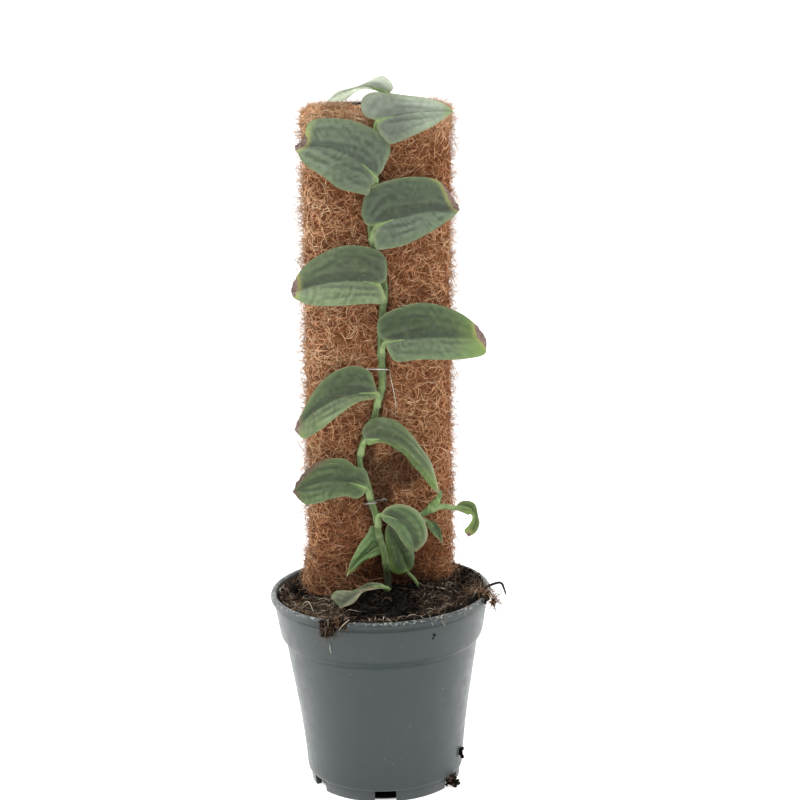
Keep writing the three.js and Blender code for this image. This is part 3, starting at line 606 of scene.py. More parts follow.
def pot_plastic():
    look = Look("pot_plastic")
    flow = look.noise(16, 3, places=look.upright(0.3))
    look.color = look.mix(look.noise(45, 2), "232c2c", "293333")
    look.shade(flow, 0.93, 1.07)
    specks = look.fade(look.cells(4.5), 0.035, 0.06, 0.7, 0)
    rare = look.fade(look.noise(14, 1), 0.54, 0.62)
    look.paint(look.times(specks, rare), "a3a69e")
    height = look.axis("Z")
    soiled = look.fade(look.noise(3, 4, 0.7), 0.52, 0.66, 0, 0.4)
    look.paint(look.times(look.fade(height, 0.096, 0.107), soiled), "3c342d")
    # Painted shade: the band's step and the underside of the lip face down, so they are painted a little
    # darker and given less sheen and specular.
    step = look.times(look.fade(height, 0.078, 0.081), look.fade(height, 0.0862, 0.0822))
    lip = look.times(look.fade(height, 0.1008, 0.102), look.fade(height, 0.105, 0.1038))
    crease = look.math("MAXIMUM", step, lip)
    look.paint(look.times(crease, 0.12), "0f1312")
    chalk = look.fade(look.noise(1.3, 4, 0.7), 0.5, 0.66, 0, 0.65)
    look.paint(look.times(look.fade(height, 0.1052, 0.107), chalk), "c4c8c1")
    # Painted shade: the inside of the foot ring is painted nearly black.
    under = look.times(look.fade(look.radius(), 0.0399, 0.0389), look.fade(height, 0.0098, 0.0085))
    look.paint(under, "12100e")
    # Painted shade: the pot is darker towards the floor.
    look.shade(look.fade(height, 0.002, 0.018), 0.86, 1.0)
    scratches = look.fade(look.noise(1.1, 2, places=look.upright(0.12)), 0.66, 0.74, 0, 0.2)
    look.paint(look.times(scratches, rare), "6f7775")
    look.bump(look.noise(0.8, 2), 0.02, 0.5)
    look.bump(flow, 0.12, 0.5)
    look.feed(look.inputs["Sheen Weight"], look.fade(crease, 0, 1, 0.2, 0.05))
    look.inputs["Sheen Roughness"].default_value = 0.4
    return look.finish(look.varied(6, 3, 0.34, 0.46), look.fade(crease, 0, 1, 0.5, 0.24))


def peat():
    look = Look("peat")
    grain = look.noise(1.5, 6, 0.75)
    look.color = look.ramp(grain, [(0.35, "060504"), (0.52, "130f0c"), (0.68, "2a2018"), (0.82, "4d3d2e")])
    look.shade(look.noise(8, 3), 0.55, 1.2)
    look.bump(grain, 0.8)
    look.bump(look.noise(0.35, 2), 0.15)
    return look.finish(look.fade(look.noise(5, 2), 0.4, 0.6, 0.7, 0.95), 0.1)


def crumb():
    look = Look("peat_crumb")
    look.color = look.ramp(look.attribute("tone"), CRUMB_TONES)
    look.shade(look.noise(0.7, 3), 0.5, 1.4)
    look.bump(look.noise(0.5, 4, 0.7), 0.35)
    return look.finish(look.varied(1, 2, 0.8, 0.95), 0.05)


def fibre(name, stops, roughness):
    """Strands whose tone attribute picks the colour of each."""
    look = Look(name)
    look.color = look.ramp(look.attribute("tone"), stops)
    look.shade(look.noise(1.6, 3), 0.75, 1.25)
    # Painted shade and damp: the strands are darkened where their mesh says.
    look.shade(look.attribute("damp"), 1.0, 0.36)
    look.bump(look.noise(0.25, 2), 0.05)
    return look.finish(look.varied(3, 2, roughness, roughness + 0.15), 0.14)


def coir_mat():
    """Matted fibres: thin bright lines follow the middle level of each of several noises."""
    look = Look("coir_mat")
    look.color = look.ramp(look.noise(2.2, 4, 0.65), [(0.35, "482818"), (0.55, "7a4930"), (0.7, "a06644")])
    height = look.noise(2.2, 4, 0.65)
    for size, width, tone in COIR_LINES:
        level = look.noise(size, 2, 0.55, places=look.upright(1 + 0.1 * size), distortion=0.8)
        line = look.fade(look.math("ABSOLUTE", look.math("SUBTRACT", level, 0.5)), width, 0.3 * width)
        look.paint(line, tone)
        height = look.plus(height, look.times(line, 0.35))
    # Painted light: the mat is painted lighter towards the top.
    look.paint(look.fade(look.axis("Z"), 0.344, 0.36, 0, 0.7), "e0ab7e")
    # Painted shade and damp: the mat is darkened where its mesh says.
    look.shade(look.attribute("damp"), 1.0, 0.36)
    look.bump(height, 1.0)
    return look.finish(look.fade(height, 0.3, 1.2, 0.95, 0.75), 0.15)


def core_plastic():
    look = Look("core_plastic")
    fluting = look.noise(1.2, 2, places=look.upright(0.08))
    look.color = look.mix(look.noise(4, 3), "1c1916", "2b2723")
    look.shade(fluting, 0.8, 1.2)
    look.bump(fluting, 0.3)
    return look.finish(look.varied(2, 2, 0.55, 0.75), 0.3)


def leaf_look(name, upper, lower, pale="a3a878", border="9c9b54", margin="a39a70", rim="74895a",
              run=(0.86, 1.07), scorch=("45322a", "785f55", "a18c82")):
    """Satin leaf. Its mesh says how far each point lies from the margin, the midrib and the tip."""
    look = Look(name)
    edge, rib, half, burn = (look.attribute(key) for key in ("edge", "rib", "half", "burn"))
    # The two halves' colours hold painted shade and light: most leaves' upper half is painted darker.
    look.color = look.mix(look.fade(half, -1.8, 1.2), lower, upper)
    # Painted shade and light: darker in the folds' valleys, lighter on their ridges.
    look.shade(look.attribute("fold"), 0.66, 1.3)
    look.shade(look.attribute("reach"), *run)
    look.shade(look.attribute("share"), 0.92, 1.07)
    look.shade(look.noise(10, 3, 0.6), 0.92, 1.08)
    look.shade(look.noise(2.6, 4, 0.6), 0.89, 1.11)
    look.paint(look.fade(edge, 3.2, 0.3, 0, 0.3), rim)
    look.shade(look.noise(0.8, 3, 0.7), 0.9, 1.1)
    sallow = look.fade(look.noise(9, 3, 0.6, distortion=0.6), 0.55, 0.75, 0, 0.16)
    look.paint(sallow, "74834c")
    # Painted shade along the midrib's crease, on the upper half's side.
    midrib_shade = look.times(look.fade(rib, 1.1, 0.1), look.fade(look.noise(5, 2), 0.3, 0.6, 0.1, 0.5))
    midrib_shade = look.times(midrib_shade, look.fade(half, -0.5, 0.1))
    look.paint(midrib_shade, "344029")
    look.paint(look.fade(look.attribute("base"), 0, 1, 0, 0.6), "849b58")
    look.paint(look.times(look.attribute("glow"), 0.7), "7d9748")
    broken = look.fade(look.noise(2.4, 3, 0.6), 0.42, 0.62, 0.1, 0.7)
    look.paint(look.times(look.fade(edge, 0.65, 0.1), broken), margin)
    wander = look.times(look.math("SUBTRACT", look.noise(1.6, 3), 0.5), 2.0)
    tinted = look.fade(look.plus(look.attribute("pale"), wander), -2.2, 1.6, 0, 0.7)
    look.paint(tinted, pale)
    ragged = look.plus(burn, wander)
    look.paint(look.fade(ragged, -2.6, -0.1, 0, 0.6), border)
    scorched = look.ramp(look.noise(0.9, 4, 0.65), list(zip((0.3, 0.5, 0.72), scorch)))
    look.paint(look.fade(ragged, -0.35, 0.4), scorched)
    look.bump(look.noise(2.8, 2), 0.35, 0.8)
    look.bump(look.noise(0.5, 2), 0.04, 0.5)
    return look.finish(look.varied(2.5, 3, 0.4, 0.58), 0.45)


def stem_look(name, dark, light, pale, foot_shade=0.0):
    """Satin stem. Its mesh says how near each point lies to a node. The last argument is how dark
    its foot is painted, as painted shade low down by the peat.
    """
    look = Look(name)
    streaks = look.noise(1.0, 3, places=look.upright(0.15))
    look.color = look.mix(look.fade(streaks, 0.35, 0.65), dark, light)
    look.shade(look.noise(4, 3), 0.72, 1.18)
    look.paint(look.times(look.attribute("node"), 0.6), pale)
    look.paint(look.fade(look.axis("Z"), 0.125, 0.114, 0, foot_shade), "17120b")
    look.bump(streaks, 0.15, 0.6)
    return look.finish(look.varied(3, 2, 0.4, 0.55), 0.4)


def wire_look():
    look = Look("tie_wire")
    look.color = look.mix(look.noise(1.5, 3), "857f76", "efece6")
    look.shade(look.fade(look.axis("Z"), 0.16, 0.2), 0.8, 1.0)
    look.bump(look.noise(0.3, 2), 0.04)
    return look.finish(look.varied(1, 2, 0.35, 0.55), 0.5, 0.4)


def floor_look():
    look = Look("floor")
    look.color = look.mix(look.noise(60, 2), "fafafa", "fdfdfd")
    radius = look.radius()
    # Painted shadow: a dark disc on the floor under the pot.
    look.paint(look.fade(radius, 0.038, 0.035), "2a2724")
    look.inputs["Emission Color"].default_value = (1.0, 1.0, 1.0, 1.0)
    # The floor glows, but not under the pot, and it glows more in a ring round the pot's foot: painted light
    # that lightens the shadow there.
    beyond = look.fade(radius, 0.035, 0.038, 0, 0.4)
    glow = look.plus(beyond, look.fade(radius, 0.05, 0.042, 0, 0.3))
    look.feed(look.inputs["Emission Strength"], look.times(glow, look.fade(radius, 0.035, 0.038)))
    return look.finish(look.varied(20, 2, 0.85, 0.95), 0.1)


# Pot

POT_OUTSIDE = [
    (41.6, FOOT_HEIGHT), (42.7, 8), (43.7, 20), (46.1, 40), (49.2, 60), (51.2, 72.5), (52.0, 78.2),
    (52.4, 79.9), (53.2, 81.3), (54.2, 82.6), (54.9, 83.9), (55.3, 85.2), (55.7, 87.5), (57.3, 97.5),
    (57.85, 101.8), (58.3, 102.8), (59.6, 103.7), (RIM_RADIUS, 105.2), (59.5, 106.8), (58.4, 107.4),
    (57.3, 107.1), (56.8, 106),
]
INSIDE_START = 2
INSIDE_END = 15


def pot_profile():
    """The wall's outline from the middle of the underside to the middle of the pot's floor."""
    outside = even_curve(POT_OUTSIDE, np.linspace(0, 1, 106))
    outside[:, 0] += MOULD_LINE_DEPTH * hill(outside[:, 1] - MOULD_LINE_HEIGHT, MOULD_LINE_WIDTH)
    inside = even_curve(POT_OUTSIDE[INSIDE_START:INSIDE_END], np.linspace(1, 0, 40)) - (POT_WALL, 0)
    skirt = FOOT_RADIUS - FOOT_THICKNESS
    foot = [(0, FOOT_HEIGHT), (skirt + 0.4, FOOT_HEIGHT), (skirt, 0.4), (skirt + 0.4, 0)]
    foot += [(FOOT_RADIUS - 0.4, 0), (FOOT_RADIUS, 0.4)]
    floor = [(41.6, FLOOR_TOP + 1), (40.9, FLOOR_TOP), (0, FLOOR_TOP)]
    return np.concatenate([foot, outside, inside, floor])


def rounded_block(width, depth, low, high, rounding):
    """A block along x whose two upper edges are rounded."""
    corner = np.linspace(0, math.pi / 2, 6)
    side, top = width / 2 - rounding, high - rounding
    y = np.concatenate([side + rounding * np.cos(corner), -side - rounding * np.sin(corner)])
    z = np.concatenate([top + rounding * np.sin(corner), top + rounding * np.cos(corner)])
    section = np.stack([np.append(y, [-width / 2, width / 2]), np.append(z, [low, low])], -1)
    rings = [np.column_stack([np.full(len(section), x), section]) for x in (-depth / 2, depth / 2)]
    count = len(section)
    fan = np.array([(0, i + 1, i) for i in range(1, count - 1)])
    faces = np.concatenate([grid_faces(2, count, wrap=True), fan, fan[:, ::-1] + count])
    return np.concatenate(rings), faces


def turned(points, angle):
    c, s = math.cos(angle), math.sin(angle)
    return points @ np.array([(c, s, 0), (-s, c, 0), (0, 0, 1)])


def pot_cutters():
    """Foot notches and drain holes."""
    shapes = []
    for i in range(NOTCH_COUNT):
        angle = i / NOTCH_COUNT * TURN + math.pi / 2
        points, faces = rounded_block(NOTCH_WIDTH, 12, -5, NOTCH_HEIGHT, NOTCH_ROUNDING)
        points = points + (FOOT_RADIUS - FOOT_THICKNESS / 2, 0, 0)
        shapes.append((turned(points, angle), faces))
        path = np.array([[(DRAIN_RING_RADIUS, 0, z) for z in (3, 5, 12, 14)]], float)
        points, faces = tubes(path, np.full((1, 4), DRAIN_RADIUS), 32)
        shapes.append((turned(points, angle + math.pi / NOTCH_COUNT), faces))
    return shapes


def merge(shapes):
    """One set of points and triangles from several."""
    starts = np.cumsum([0] + [len(points) for points, _ in shapes[:-1]])
    points = np.concatenate([points for points, _ in shapes])
    return points, np.concatenate([faces + start for (_, faces), start in zip(shapes, starts)])


def make_pot():
    profile = pot_profile()
    points = around(profile[:, 0, None], ring_angles(POT_SEGMENTS), profile[:, 1, None])
    faces = grid_faces(len(profile), POT_SEGMENTS, wrap=True)
    pot = mesh_object("nursery_pot", points.reshape(-1, 3), faces, pot_plastic(), weld=True)
    tool = mesh_object("cutters", *merge(pot_cutters()), pot.data.materials[0], weld=True)
    cut = pot.modifiers.new("cut", "BOOLEAN")
    cut.operation = "DIFFERENCE"
    cut.solver = "EXACT"
    cut.object = tool
    cut.use_self = True
    seen = pot.evaluated_get(bpy.context.evaluated_depsgraph_get())
    mesh = bpy.data.meshes.new_from_object(seen)
    pot.modifiers.remove(cut)
    pot.data = mesh
    bpy.data.objects.remove(tool)
    mesh.shade_smooth()
    mesh.set_sharp_from_angle(angle=SHARP_ANGLE)
    place(pot, "pot")


# Peat

def soil_height(x, y):
    mound = SOIL_MOUND * hill(np.hypot(x - 12, y - 8), SOIL_MOUND_REACH)
    bank = np.clip((np.hypot(x, y) - SOIL_BANK_START) / (SOIL_RADIUS - SOIL_BANK_START), 0, 1)
    return SOIL_LEVEL + SOIL_SLOPE * x + mound + SOIL_BANK * bank**2 * (3 - 2 * bank)


def soil_relief(x, y):
    places = np.stack([x, y], -1)
    lumps = np.abs(waves(places, 5, 1)) * 1.1 + np.abs(waves(places, 2.4, 2)) * 0.7
    return soil_height(x, y) + lumps + 0.25 * waves(places, 1.1, 3) - 0.8


def make_soil():
    angles = ring_angles(SOIL_SEGMENTS)
    top = around(np.linspace(SOIL_RADIUS, 0.01, SOIL_RINGS)[:, None], angles, 0)
    top[..., 2] = soil_relief(top[..., 0], top[..., 1])
    below = FLOOR_TOP + 0.4
    walls = [
        (0.01, below), (39, below), (42.3, 22), (47.2, 60), (49.2, 72), (50.6, 81), (53.4, 84.5), (55.2, 98),
    ]
    points = np.concatenate([[around(radius, angles, z) for radius, z in walls], top])
    faces = grid_faces(len(points), SOIL_SEGMENTS, wrap=True)
    soil = mesh_object("peat_surface", points.reshape(-1, 3), faces, peat(), weld=True)
    place(soil, "soil")


def icosahedron():
    t = (1 + 5**0.5) / 2
    points = [(-1, t, 0), (1, t, 0), (-1, -t, 0), (1, -t, 0), (0, -1, t), (0, 1, t)]
    points += [(0, -1, -t), (0, 1, -t), (t, 0, -1), (t, 0, 1), (-t, 0, -1), (-t, 0, 1)]
    faces = [(0, 11, 5), (0, 5, 1), (0, 1, 7), (0, 7, 10), (0, 10, 11), (1, 5, 9), (5, 11, 4)]
    faces += [(11, 10, 2), (10, 7, 6), (7, 1, 8), (3, 9, 4), (3, 4, 2), (3, 2, 6), (3, 6, 8)]
    faces += [(3, 8, 9), (4, 9, 5), (2, 4, 11), (6, 2, 10), (8, 6, 7), (9, 8, 1)]
    return unit(np.array(points, float)), np.array(faces)


def crumbs(centres, sizes, tones, rng):
    """Rough lumps, each a stretched and dented icosahedron."""
    ball, ball_faces = icosahedron()
    count = len(centres)
    shapes = ball[None] * rng.uniform(0.55, 1.25, (count, len(ball), 1))
    shapes = shapes * rng.uniform(0.5, 1.3, (count, 1, 3))
    angles = rng.uniform(0, TURN, count)
    c, s = np.cos(angles)[:, None], np.sin(angles)[:, None]
    x = shapes[..., 0] * c - shapes[..., 1] * s
    y = shapes[..., 0] * s + shapes[..., 1] * c
    points = np.stack([x, y, shapes[..., 2]], -1) * sizes[:, None, None] + centres[:, None]
    faces = ball_faces[None] + (np.arange(count) * len(ball))[:, None, None]
    tone = np.repeat(np.clip(rng.beta(2, 4, count) + tones, 0, 1), len(ball))
    return points.reshape(-1, 3), faces.reshape(-1, 3), tone


def in_board(x, y, room):
    """Whether places on the peat lie inside the board's outline, widened by room."""
    c, s = math.cos(BOARD_TURN), math.sin(BOARD_TURN)
    dx, dy = x - BOARD_PLACE.x, y - BOARD_PLACE.y
    across, back = dx * c + dy * s - BOARD_MIDDLE, dy * c - dx * s
    return (np.abs(across) < HALF_BOARD + room) & (back > -room) & (back < BOARD_DEPTH + room)


def soil_spots(count, rng):
    """Random places on the open peat."""
    radius = (SOIL_RADIUS - 0.6) * np.sqrt(rng.uniform(0, 1, count * 2))
    angle = rng.uniform(0, TURN, count * 2)
    x, y = radius * np.cos(angle), radius * np.sin(angle)
    kept = np.flatnonzero(~in_board(x, y, -1.5))[:count]
    return x[kept], y[kept]


def grassy(x, y):
    """Whether places on the peat lie where it is light and full of fibres."""
    return (x > 20) | (np.hypot(x, y) > 50) | ((x < -20) & (y < 5))


def make_crumbs(material):
    rng = np.random.default_rng(SEEDS["crumbs"])
    x, y = soil_spots(CRUMB_COUNT, rng)
    sizes = 0.4 + 1.7 * rng.beta(1.2, 4.2, len(x))
    centres = [np.stack([x, y, soil_relief(x, y) + 0.3 * sizes], -1)]
    for count, middle, spread in CRUMB_PILES:
        centres.append(np.clip(rng.normal(size=(count, 3)), -1.7, 1.7) * spread + middle)
    centres = np.concatenate(centres)
    sizes = np.append(sizes, 0.3 + 2.0 * rng.beta(1.2, 3.0, len(centres) - len(sizes)))
    tones = np.full(len(sizes), 0.14)
    tones[:len(x)] = np.where(grassy(x, y), np.where(x < 0, 0.55, 0.1), -0.36)
    points, faces, tone = crumbs(centres, sizes, tones, rng)
    points[:, 2] = np.maximum(points[:, 2], FLOOR_GAP)
    place(mesh_object("peat_crumbs", points, faces, material, {"tone": tone}))


def curved_paths(starts, headings, bends, lengths, steps):
    """Flat arcs from starts: headings in radians, bends in radians a millimetre."""
    along = np.linspace(0, 1, steps)[None] * lengths[:, None]
    angle = headings[:, None] + bends[:, None] * along
    hop = np.diff(along, axis=1)
    turns = (np.cos(angle[:, :-1]), np.sin(angle[:, :-1]))
    moves = [np.concatenate([0 * hop[:, :1], np.cumsum(turn * hop, axis=1)], 1) for turn in turns]
    return starts[:, 0, None] + moves[0], starts[:, 1, None] + moves[1]


def thinning(steps, radius):
    """Radii of strands that thin towards both ends."""
    share = np.linspace(-1, 1, steps)[None]
    return radius[:, None] * (0.25 + 0.75 * np.sqrt(np.maximum(1 - share**2, 0)))


def make_soil_fibres(material):
    rng = np.random.default_rng(SEEDS["peat_fibres"])
    x, y = soil_spots(SOIL_FIBRE_COUNT, rng)
    keen = rng.uniform(0, 1, len(x)) < np.where(grassy(x, y), 0.97, 0.16)
    x, y = x[keen], y[keen]
    count, steps = len(x), 4
    headings, bends = rng.uniform(0, TURN, count), rng.normal(0, 0.07, count)
    lengths = np.where(rng.uniform(0, 1, count) < 0.08, rng.uniform(9, 15, count), rng.uniform(2, 9, count))
    px, py = curved_paths(np.stack([x, y], -1), headings, bends, lengths, steps)
    outside = np.maximum(np.hypot(px, py) / (SOIL_RADIUS - 0.8), 1)
    px, py = px / outside, py / outside
    lift = arch(steps) * rng.uniform(0.1, 1.8, count)[:, None]
    lift = lift + np.linspace(0, 1, steps)[None] * 3.2 * rng.beta(0.8, 3, count)[:, None]
    pz = soil_relief(px, py) + 0.5 + lift
    light = grassy(x, y)
    radii = 0.06 + np.where(light, 0.15, 0.09) * rng.beta(1.5, 3, count) + 0.09 * (lengths > 9)
    paler = np.where(light, np.where(x < 0, 0.16, 0.04), -0.24)
    tone = np.clip(rng.beta(1.1, 1.8, count) + paler, 0, 1)
    paths = np.stack([px, py, pz], -1)
    place_tubes("peat_fibres", paths, thinning(steps, radii), material, "peat", tone=tone)


# Coir

def board_outline():
    """Arc length, place and outward direction round the board, from the middle of its front."""
    corner = np.linspace(0, math.pi / 2, 24)
    right = BOARD_MIDDLE + HALF_BOARD - BOARD_CORNER
    left = BOARD_MIDDLE - HALF_BOARD + BOARD_CORNER
    low, high = BOARD_CORNER, BOARD_DEPTH - BOARD_CORNER
    centres = np.repeat([(right, low), (right, high), (left, high), (left, low)], len(corner), axis=0)
    angles = np.concatenate([corner + quarter * math.pi / 2 for quarter in (-1, 0, 1, 2)])
    outward = np.stack([np.cos(angles), np.sin(angles)], -1)
    points = np.concatenate([[(BOARD_MIDDLE, 0)], centres + BOARD_CORNER * outward, [(BOARD_MIDDLE, 0)]])
    outward = np.concatenate([[(0, -1)], outward, [(0, -1)]])
    reach = np.concatenate([[0], np.cumsum(np.linalg.norm(np.diff(points, axis=0), axis=1))])
    return reach, points, outward


OUTLINE_REACH, OUTLINE_POINTS, OUTLINE_NORMALS = board_outline()
GIRTH = OUTLINE_REACH[-1]


def crown(across):
    """How far the coir's top falls off towards its two ends."""
    return CROWN_DROP * np.clip((np.abs(across) - HALF_BOARD + CROWN_WIDTH) / CROWN_WIDTH, 0, 1) ** 2


def from_middle(reach):
    """How far round the board places lie from the middle of its front, below 0 to its left."""
    return np.mod(reach + GIRTH / 2, GIRTH) - GIRTH / 2


def on_board(reach, height, out):
    """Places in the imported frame: reach round the board, height above the ground, out from its face."""
    wrapped = np.mod(reach, GIRTH)
    point = [np.interp(wrapped, OUTLINE_REACH, OUTLINE_POINTS[:, i]) for i in (0, 1)]
    normal = [np.interp(wrapped, OUTLINE_REACH, OUTLINE_NORMALS[:, i]) for i in (0, 1)]
    rounding = TOP_ROUNDING * np.clip((height - BOARD_TOP + TOP_ROUNDING) / TOP_ROUNDING, 0, 1) ** 2
    height = height - crown(point[0] - BOARD_MIDDLE) * np.clip((height - BOARD_TOP + 9) / 9, 0, 1)
    x = point[0] + normal[0] * (out - rounding)
    y = point[1] + normal[1] * (out - rounding)
    return from_board(np.stack([x, y, height], -1))


def mat_depth(reach, height):
    """How far the matted surface lies from the board's outline."""
    places = around(GIRTH / 6.28, reach / GIRTH * TURN, height)
    return -0.75 + 0.35 * waves(places, 6, 5) + 0.3 * waves(places, 2.6, 6)


def dampness(reach, height):
    """Painted shade by the stem and under a leaf right of it; damp and painted shade by the peat."""
    across = from_middle(reach)
    route = np.array(STEM)
    stem = np.interp(height, route[:, 2], route[:, 0]) - BOARD_MIDDLE
    beside = (0.6 + 0.25 * np.clip((215 - height) / 30, 0, 1)) * hill(across - stem - 1.5, 5.5)
    leaf_shadow = 0.85 * hill(across - 1, 9, height - 165, 18)
    leaf_shadow = np.maximum(leaf_shadow, 1.1 * hill(across - 12, 13, height - 171, 13))
    leaf_shadow = np.maximum(leaf_shadow, 1.6 * hill(across - 17, 6, height - 176, 7))
    low = 0.5 * np.clip((121 - height) / 16, 0, 1) + 0.8 * hill(across - 4, 20, height - 103, 14)
    return np.clip(np.where(np.abs(across) < HALF_BOARD, beside + leaf_shadow, 0) + low, 0, 1)


def make_coir_mat():
    around_board = np.arange(MAT_COLUMNS) / MAT_COLUMNS * GIRTH
    reach, height = np.meshgrid(around_board, np.linspace(BOARD_BOTTOM, BOARD_TOP, MAT_ROWS))
    wall = on_board(reach, height, mat_depth(reach, height))
    outline = np.stack([np.interp(reach[0], OUTLINE_REACH, OUTLINE_POINTS[:, i]) for i in (0, 1)], -1)
    across = np.clip(outline[:, 0], BOARD_MIDDLE - CORE_WIDTH / 2, BOARD_MIDDLE + CORE_WIDTH / 2)
    middle = np.stack([across, np.full(MAT_COLUMNS, BOARD_DEPTH / 2)], -1)
    top = []
    for share in (0.9, 0.7, 0.5):
        flat = middle + (outline - middle) * share
        bumps = 0.3 * waves(flat, 2.5, 8) - crown(flat[:, 0] - BOARD_MIDDLE)
        top.append(from_board(np.column_stack([flat, BOARD_TOP + 0.1 + bumps])))
    points = np.concatenate([wall, top])
    faces = grid_faces(len(points), MAT_COLUMNS, wrap=True)
    damp = np.append(dampness(reach, height), np.zeros(len(top) * MAT_COLUMNS))
    mat = mesh_object("coir_mat", points.reshape(-1, 3), faces, coir_mat(), {"damp": damp})
    place(mat, "board_coir")


def make_strands(name, rng, count, reach_range, height_range, material):
    """Matted strands that lie on a stretch of the board, arching in and out of the mat."""
    starts = np.stack([rng.uniform(*reach_range, count), rng.uniform(*height_range, count)], -1)
    lengths = 3.5 + 9.5 * rng.beta(1.6, 2.4, count)
    headings, bends = rng.uniform(0, TURN, count), rng.normal(0, 0.14, count)
    reach, height = curved_paths(starts, headings, bends, lengths, FIBRE_STEPS)
    lift = rng.beta(1.5, 2.0, count)[:, None]
    out = -0.9 + 2.5 * lift * arch(FIBRE_STEPS) + rng.normal(0, 0.14, (count, FIBRE_STEPS))
    height = np.clip(height, FIBRES_START - 6, BOARD_TOP + 1.6 * lift)
    radii = (0.085 + 0.105 * rng.beta(1.6, 2.6, count)) * (0.82 + 0.55 * lift[:, 0])
    across, up = starts.T
    # Tone varies in patches, with painted light: lighter towards the top and the left edge, and painted
    # shade: darker low down and darkest at the stem's foot by the peat.
    patches_and_painted_light = 0.1 * waves(starts, 26, 71) + 0.07 * waves(starts, 9, 72)
    patches_and_painted_light += 0.45 * np.clip((up - BOARD_TOP + 18) / 18, 0, 1) - 0.26 * np.clip((165 - up) / 45, 0, 1)
    patches_and_painted_light += 0.18 * hill(across + HALF_BOARD, 16)
    patches_and_painted_light -= 0.7 * hill(across - 3, 15, up - 103, 13)
    tone = np.clip(0.48 + 0.75 * (lift[:, 0] - 0.42) + patches_and_painted_light + rng.normal(0, 0.15, count), 0, 1)
    place_tubes(
        name, on_board(reach, height, out), thinning(FIBRE_STEPS, radii), material, "coir",
        tone=tone, damp=dampness(reach, height),
    )


def make_coir_fibres(material):
    edge = HALF_BOARD + 3
    front, back, around_board = (-edge, edge), (edge, GIRTH - edge), (-edge, GIRTH - edge)
    lower, upper, top = (FIBRES_START, 234), (228, BOARD_TOP), (BOARD_TOP - 9, BOARD_TOP + 0.5)
    rng = np.random.default_rng(SEEDS["coir"])
    make_strands("coir_front_lower", rng, FRONT_STRANDS, front, lower, material)
    make_strands("coir_front_upper", rng, FRONT_STRANDS, front, upper, material)
    make_strands("coir_back_lower", rng, BACK_STRANDS, back, lower, material)
    make_strands("coir_back_upper", rng, BACK_STRANDS, back, upper, material)
    make_strands("coir_edge", rng, EDGE_STRANDS, around_board, top, material)


def make_coir_top(material):
    """Strands that lie across the coir's top edge, either side of the core."""
    rng = np.random.default_rng(SEEDS["top"])
    x = rng.uniform(-HALF_BOARD + 1, HALF_BOARD - 1, TOP_STRANDS)
    y = rng.uniform(0.6, BOARD_DEPTH - 0.6, TOP_STRANDS)
    core_back = CORE_FRONT + CORE_DEPTH
    over_core = (np.abs(x) < CORE_WIDTH / 2 + 1) & (y > CORE_FRONT - 0.6) & (y < core_back + 0.6)
    x, y = x[~over_core], y[~over_core]
    count = len(x)
    headings, bends = rng.uniform(0, TURN, count), rng.normal(0, 0.2, count)
    px, py = curved_paths(np.stack([x, y], -1), headings, bends, rng.uniform(3, 8, count), FIBRE_STEPS)
    px = np.clip(px, -HALF_BOARD + 0.5, HALF_BOARD - 0.5) + BOARD_MIDDLE
    front = np.clip(py, 0.2, CORE_FRONT)
    behind = np.clip(py, core_back, BOARD_DEPTH - 0.2)
    py = np.where((y < BOARD_DEPTH / 2)[:, None], front, behind)
    lift = rng.beta(1.6, 2.2, count)[:, None]
    pz = BOARD_TOP - 0.6 + 1.8 * lift * arch(FIBRE_STEPS) - crown(px - BOARD_MIDDLE)
    radii = thinning(FIBRE_STEPS, rng.uniform(0.09, 0.18, count))
    tone = np.clip(0.58 + 0.6 * (lift[:, 0] - 0.4) + rng.normal(0, 0.15, count), 0, 1)
    place_tubes("coir_top", from_board(np.stack([px, py, pz], -1)), radii, material, "coir", tone=tone)


def make_fuzz(material):
    """Fine hairs that stand out from the coir, most of them round its left and right edges."""
    rng = np.random.default_rng(SEEDS["fuzz"])
    right, left = HALF_BOARD - 1, GIRTH - HALF_BOARD + 1
    zones = zip(HAIR_ZONES, [(0, GIRTH), (right, right + 12), (left - 12, left)])
    reach = np.concatenate([rng.uniform(*zone, count) for count, zone in zones])
    count, sparse = len(reach), HAIR_ZONES[0]
    height = rng.uniform(FIBRES_START + 2, BOARD_TOP - 0.5, count)
    length = (1.2 + 8 * rng.beta(1.1, 3.2, count)) * rng.choice([1, 2.1], count, p=[0.7, 0.3])
    length[:sparse] = rng.uniform(1, 2.5, sparse)
    length = length[:, None]
    share = np.linspace(0, 1, HAIR_STEPS)[None]
    sideways = rng.normal(0, 0.55, (2, count, 1)) * length * share
    droop = rng.normal(-0.05, 0.6, (2, count, 1)) * length * share**2
    reach = reach[:, None] + sideways[0] + droop[0]
    paths = on_board(reach, height[:, None] + sideways[1] + droop[1], -0.5 + length * share)
    radii = rng.uniform(0.08, 0.14, count)[:, None] * (1 - 0.5 * share)
    place_tubes("coir_fuzz", paths, radii, material, "coir", tone=rng.beta(2.0, 2.6, count))


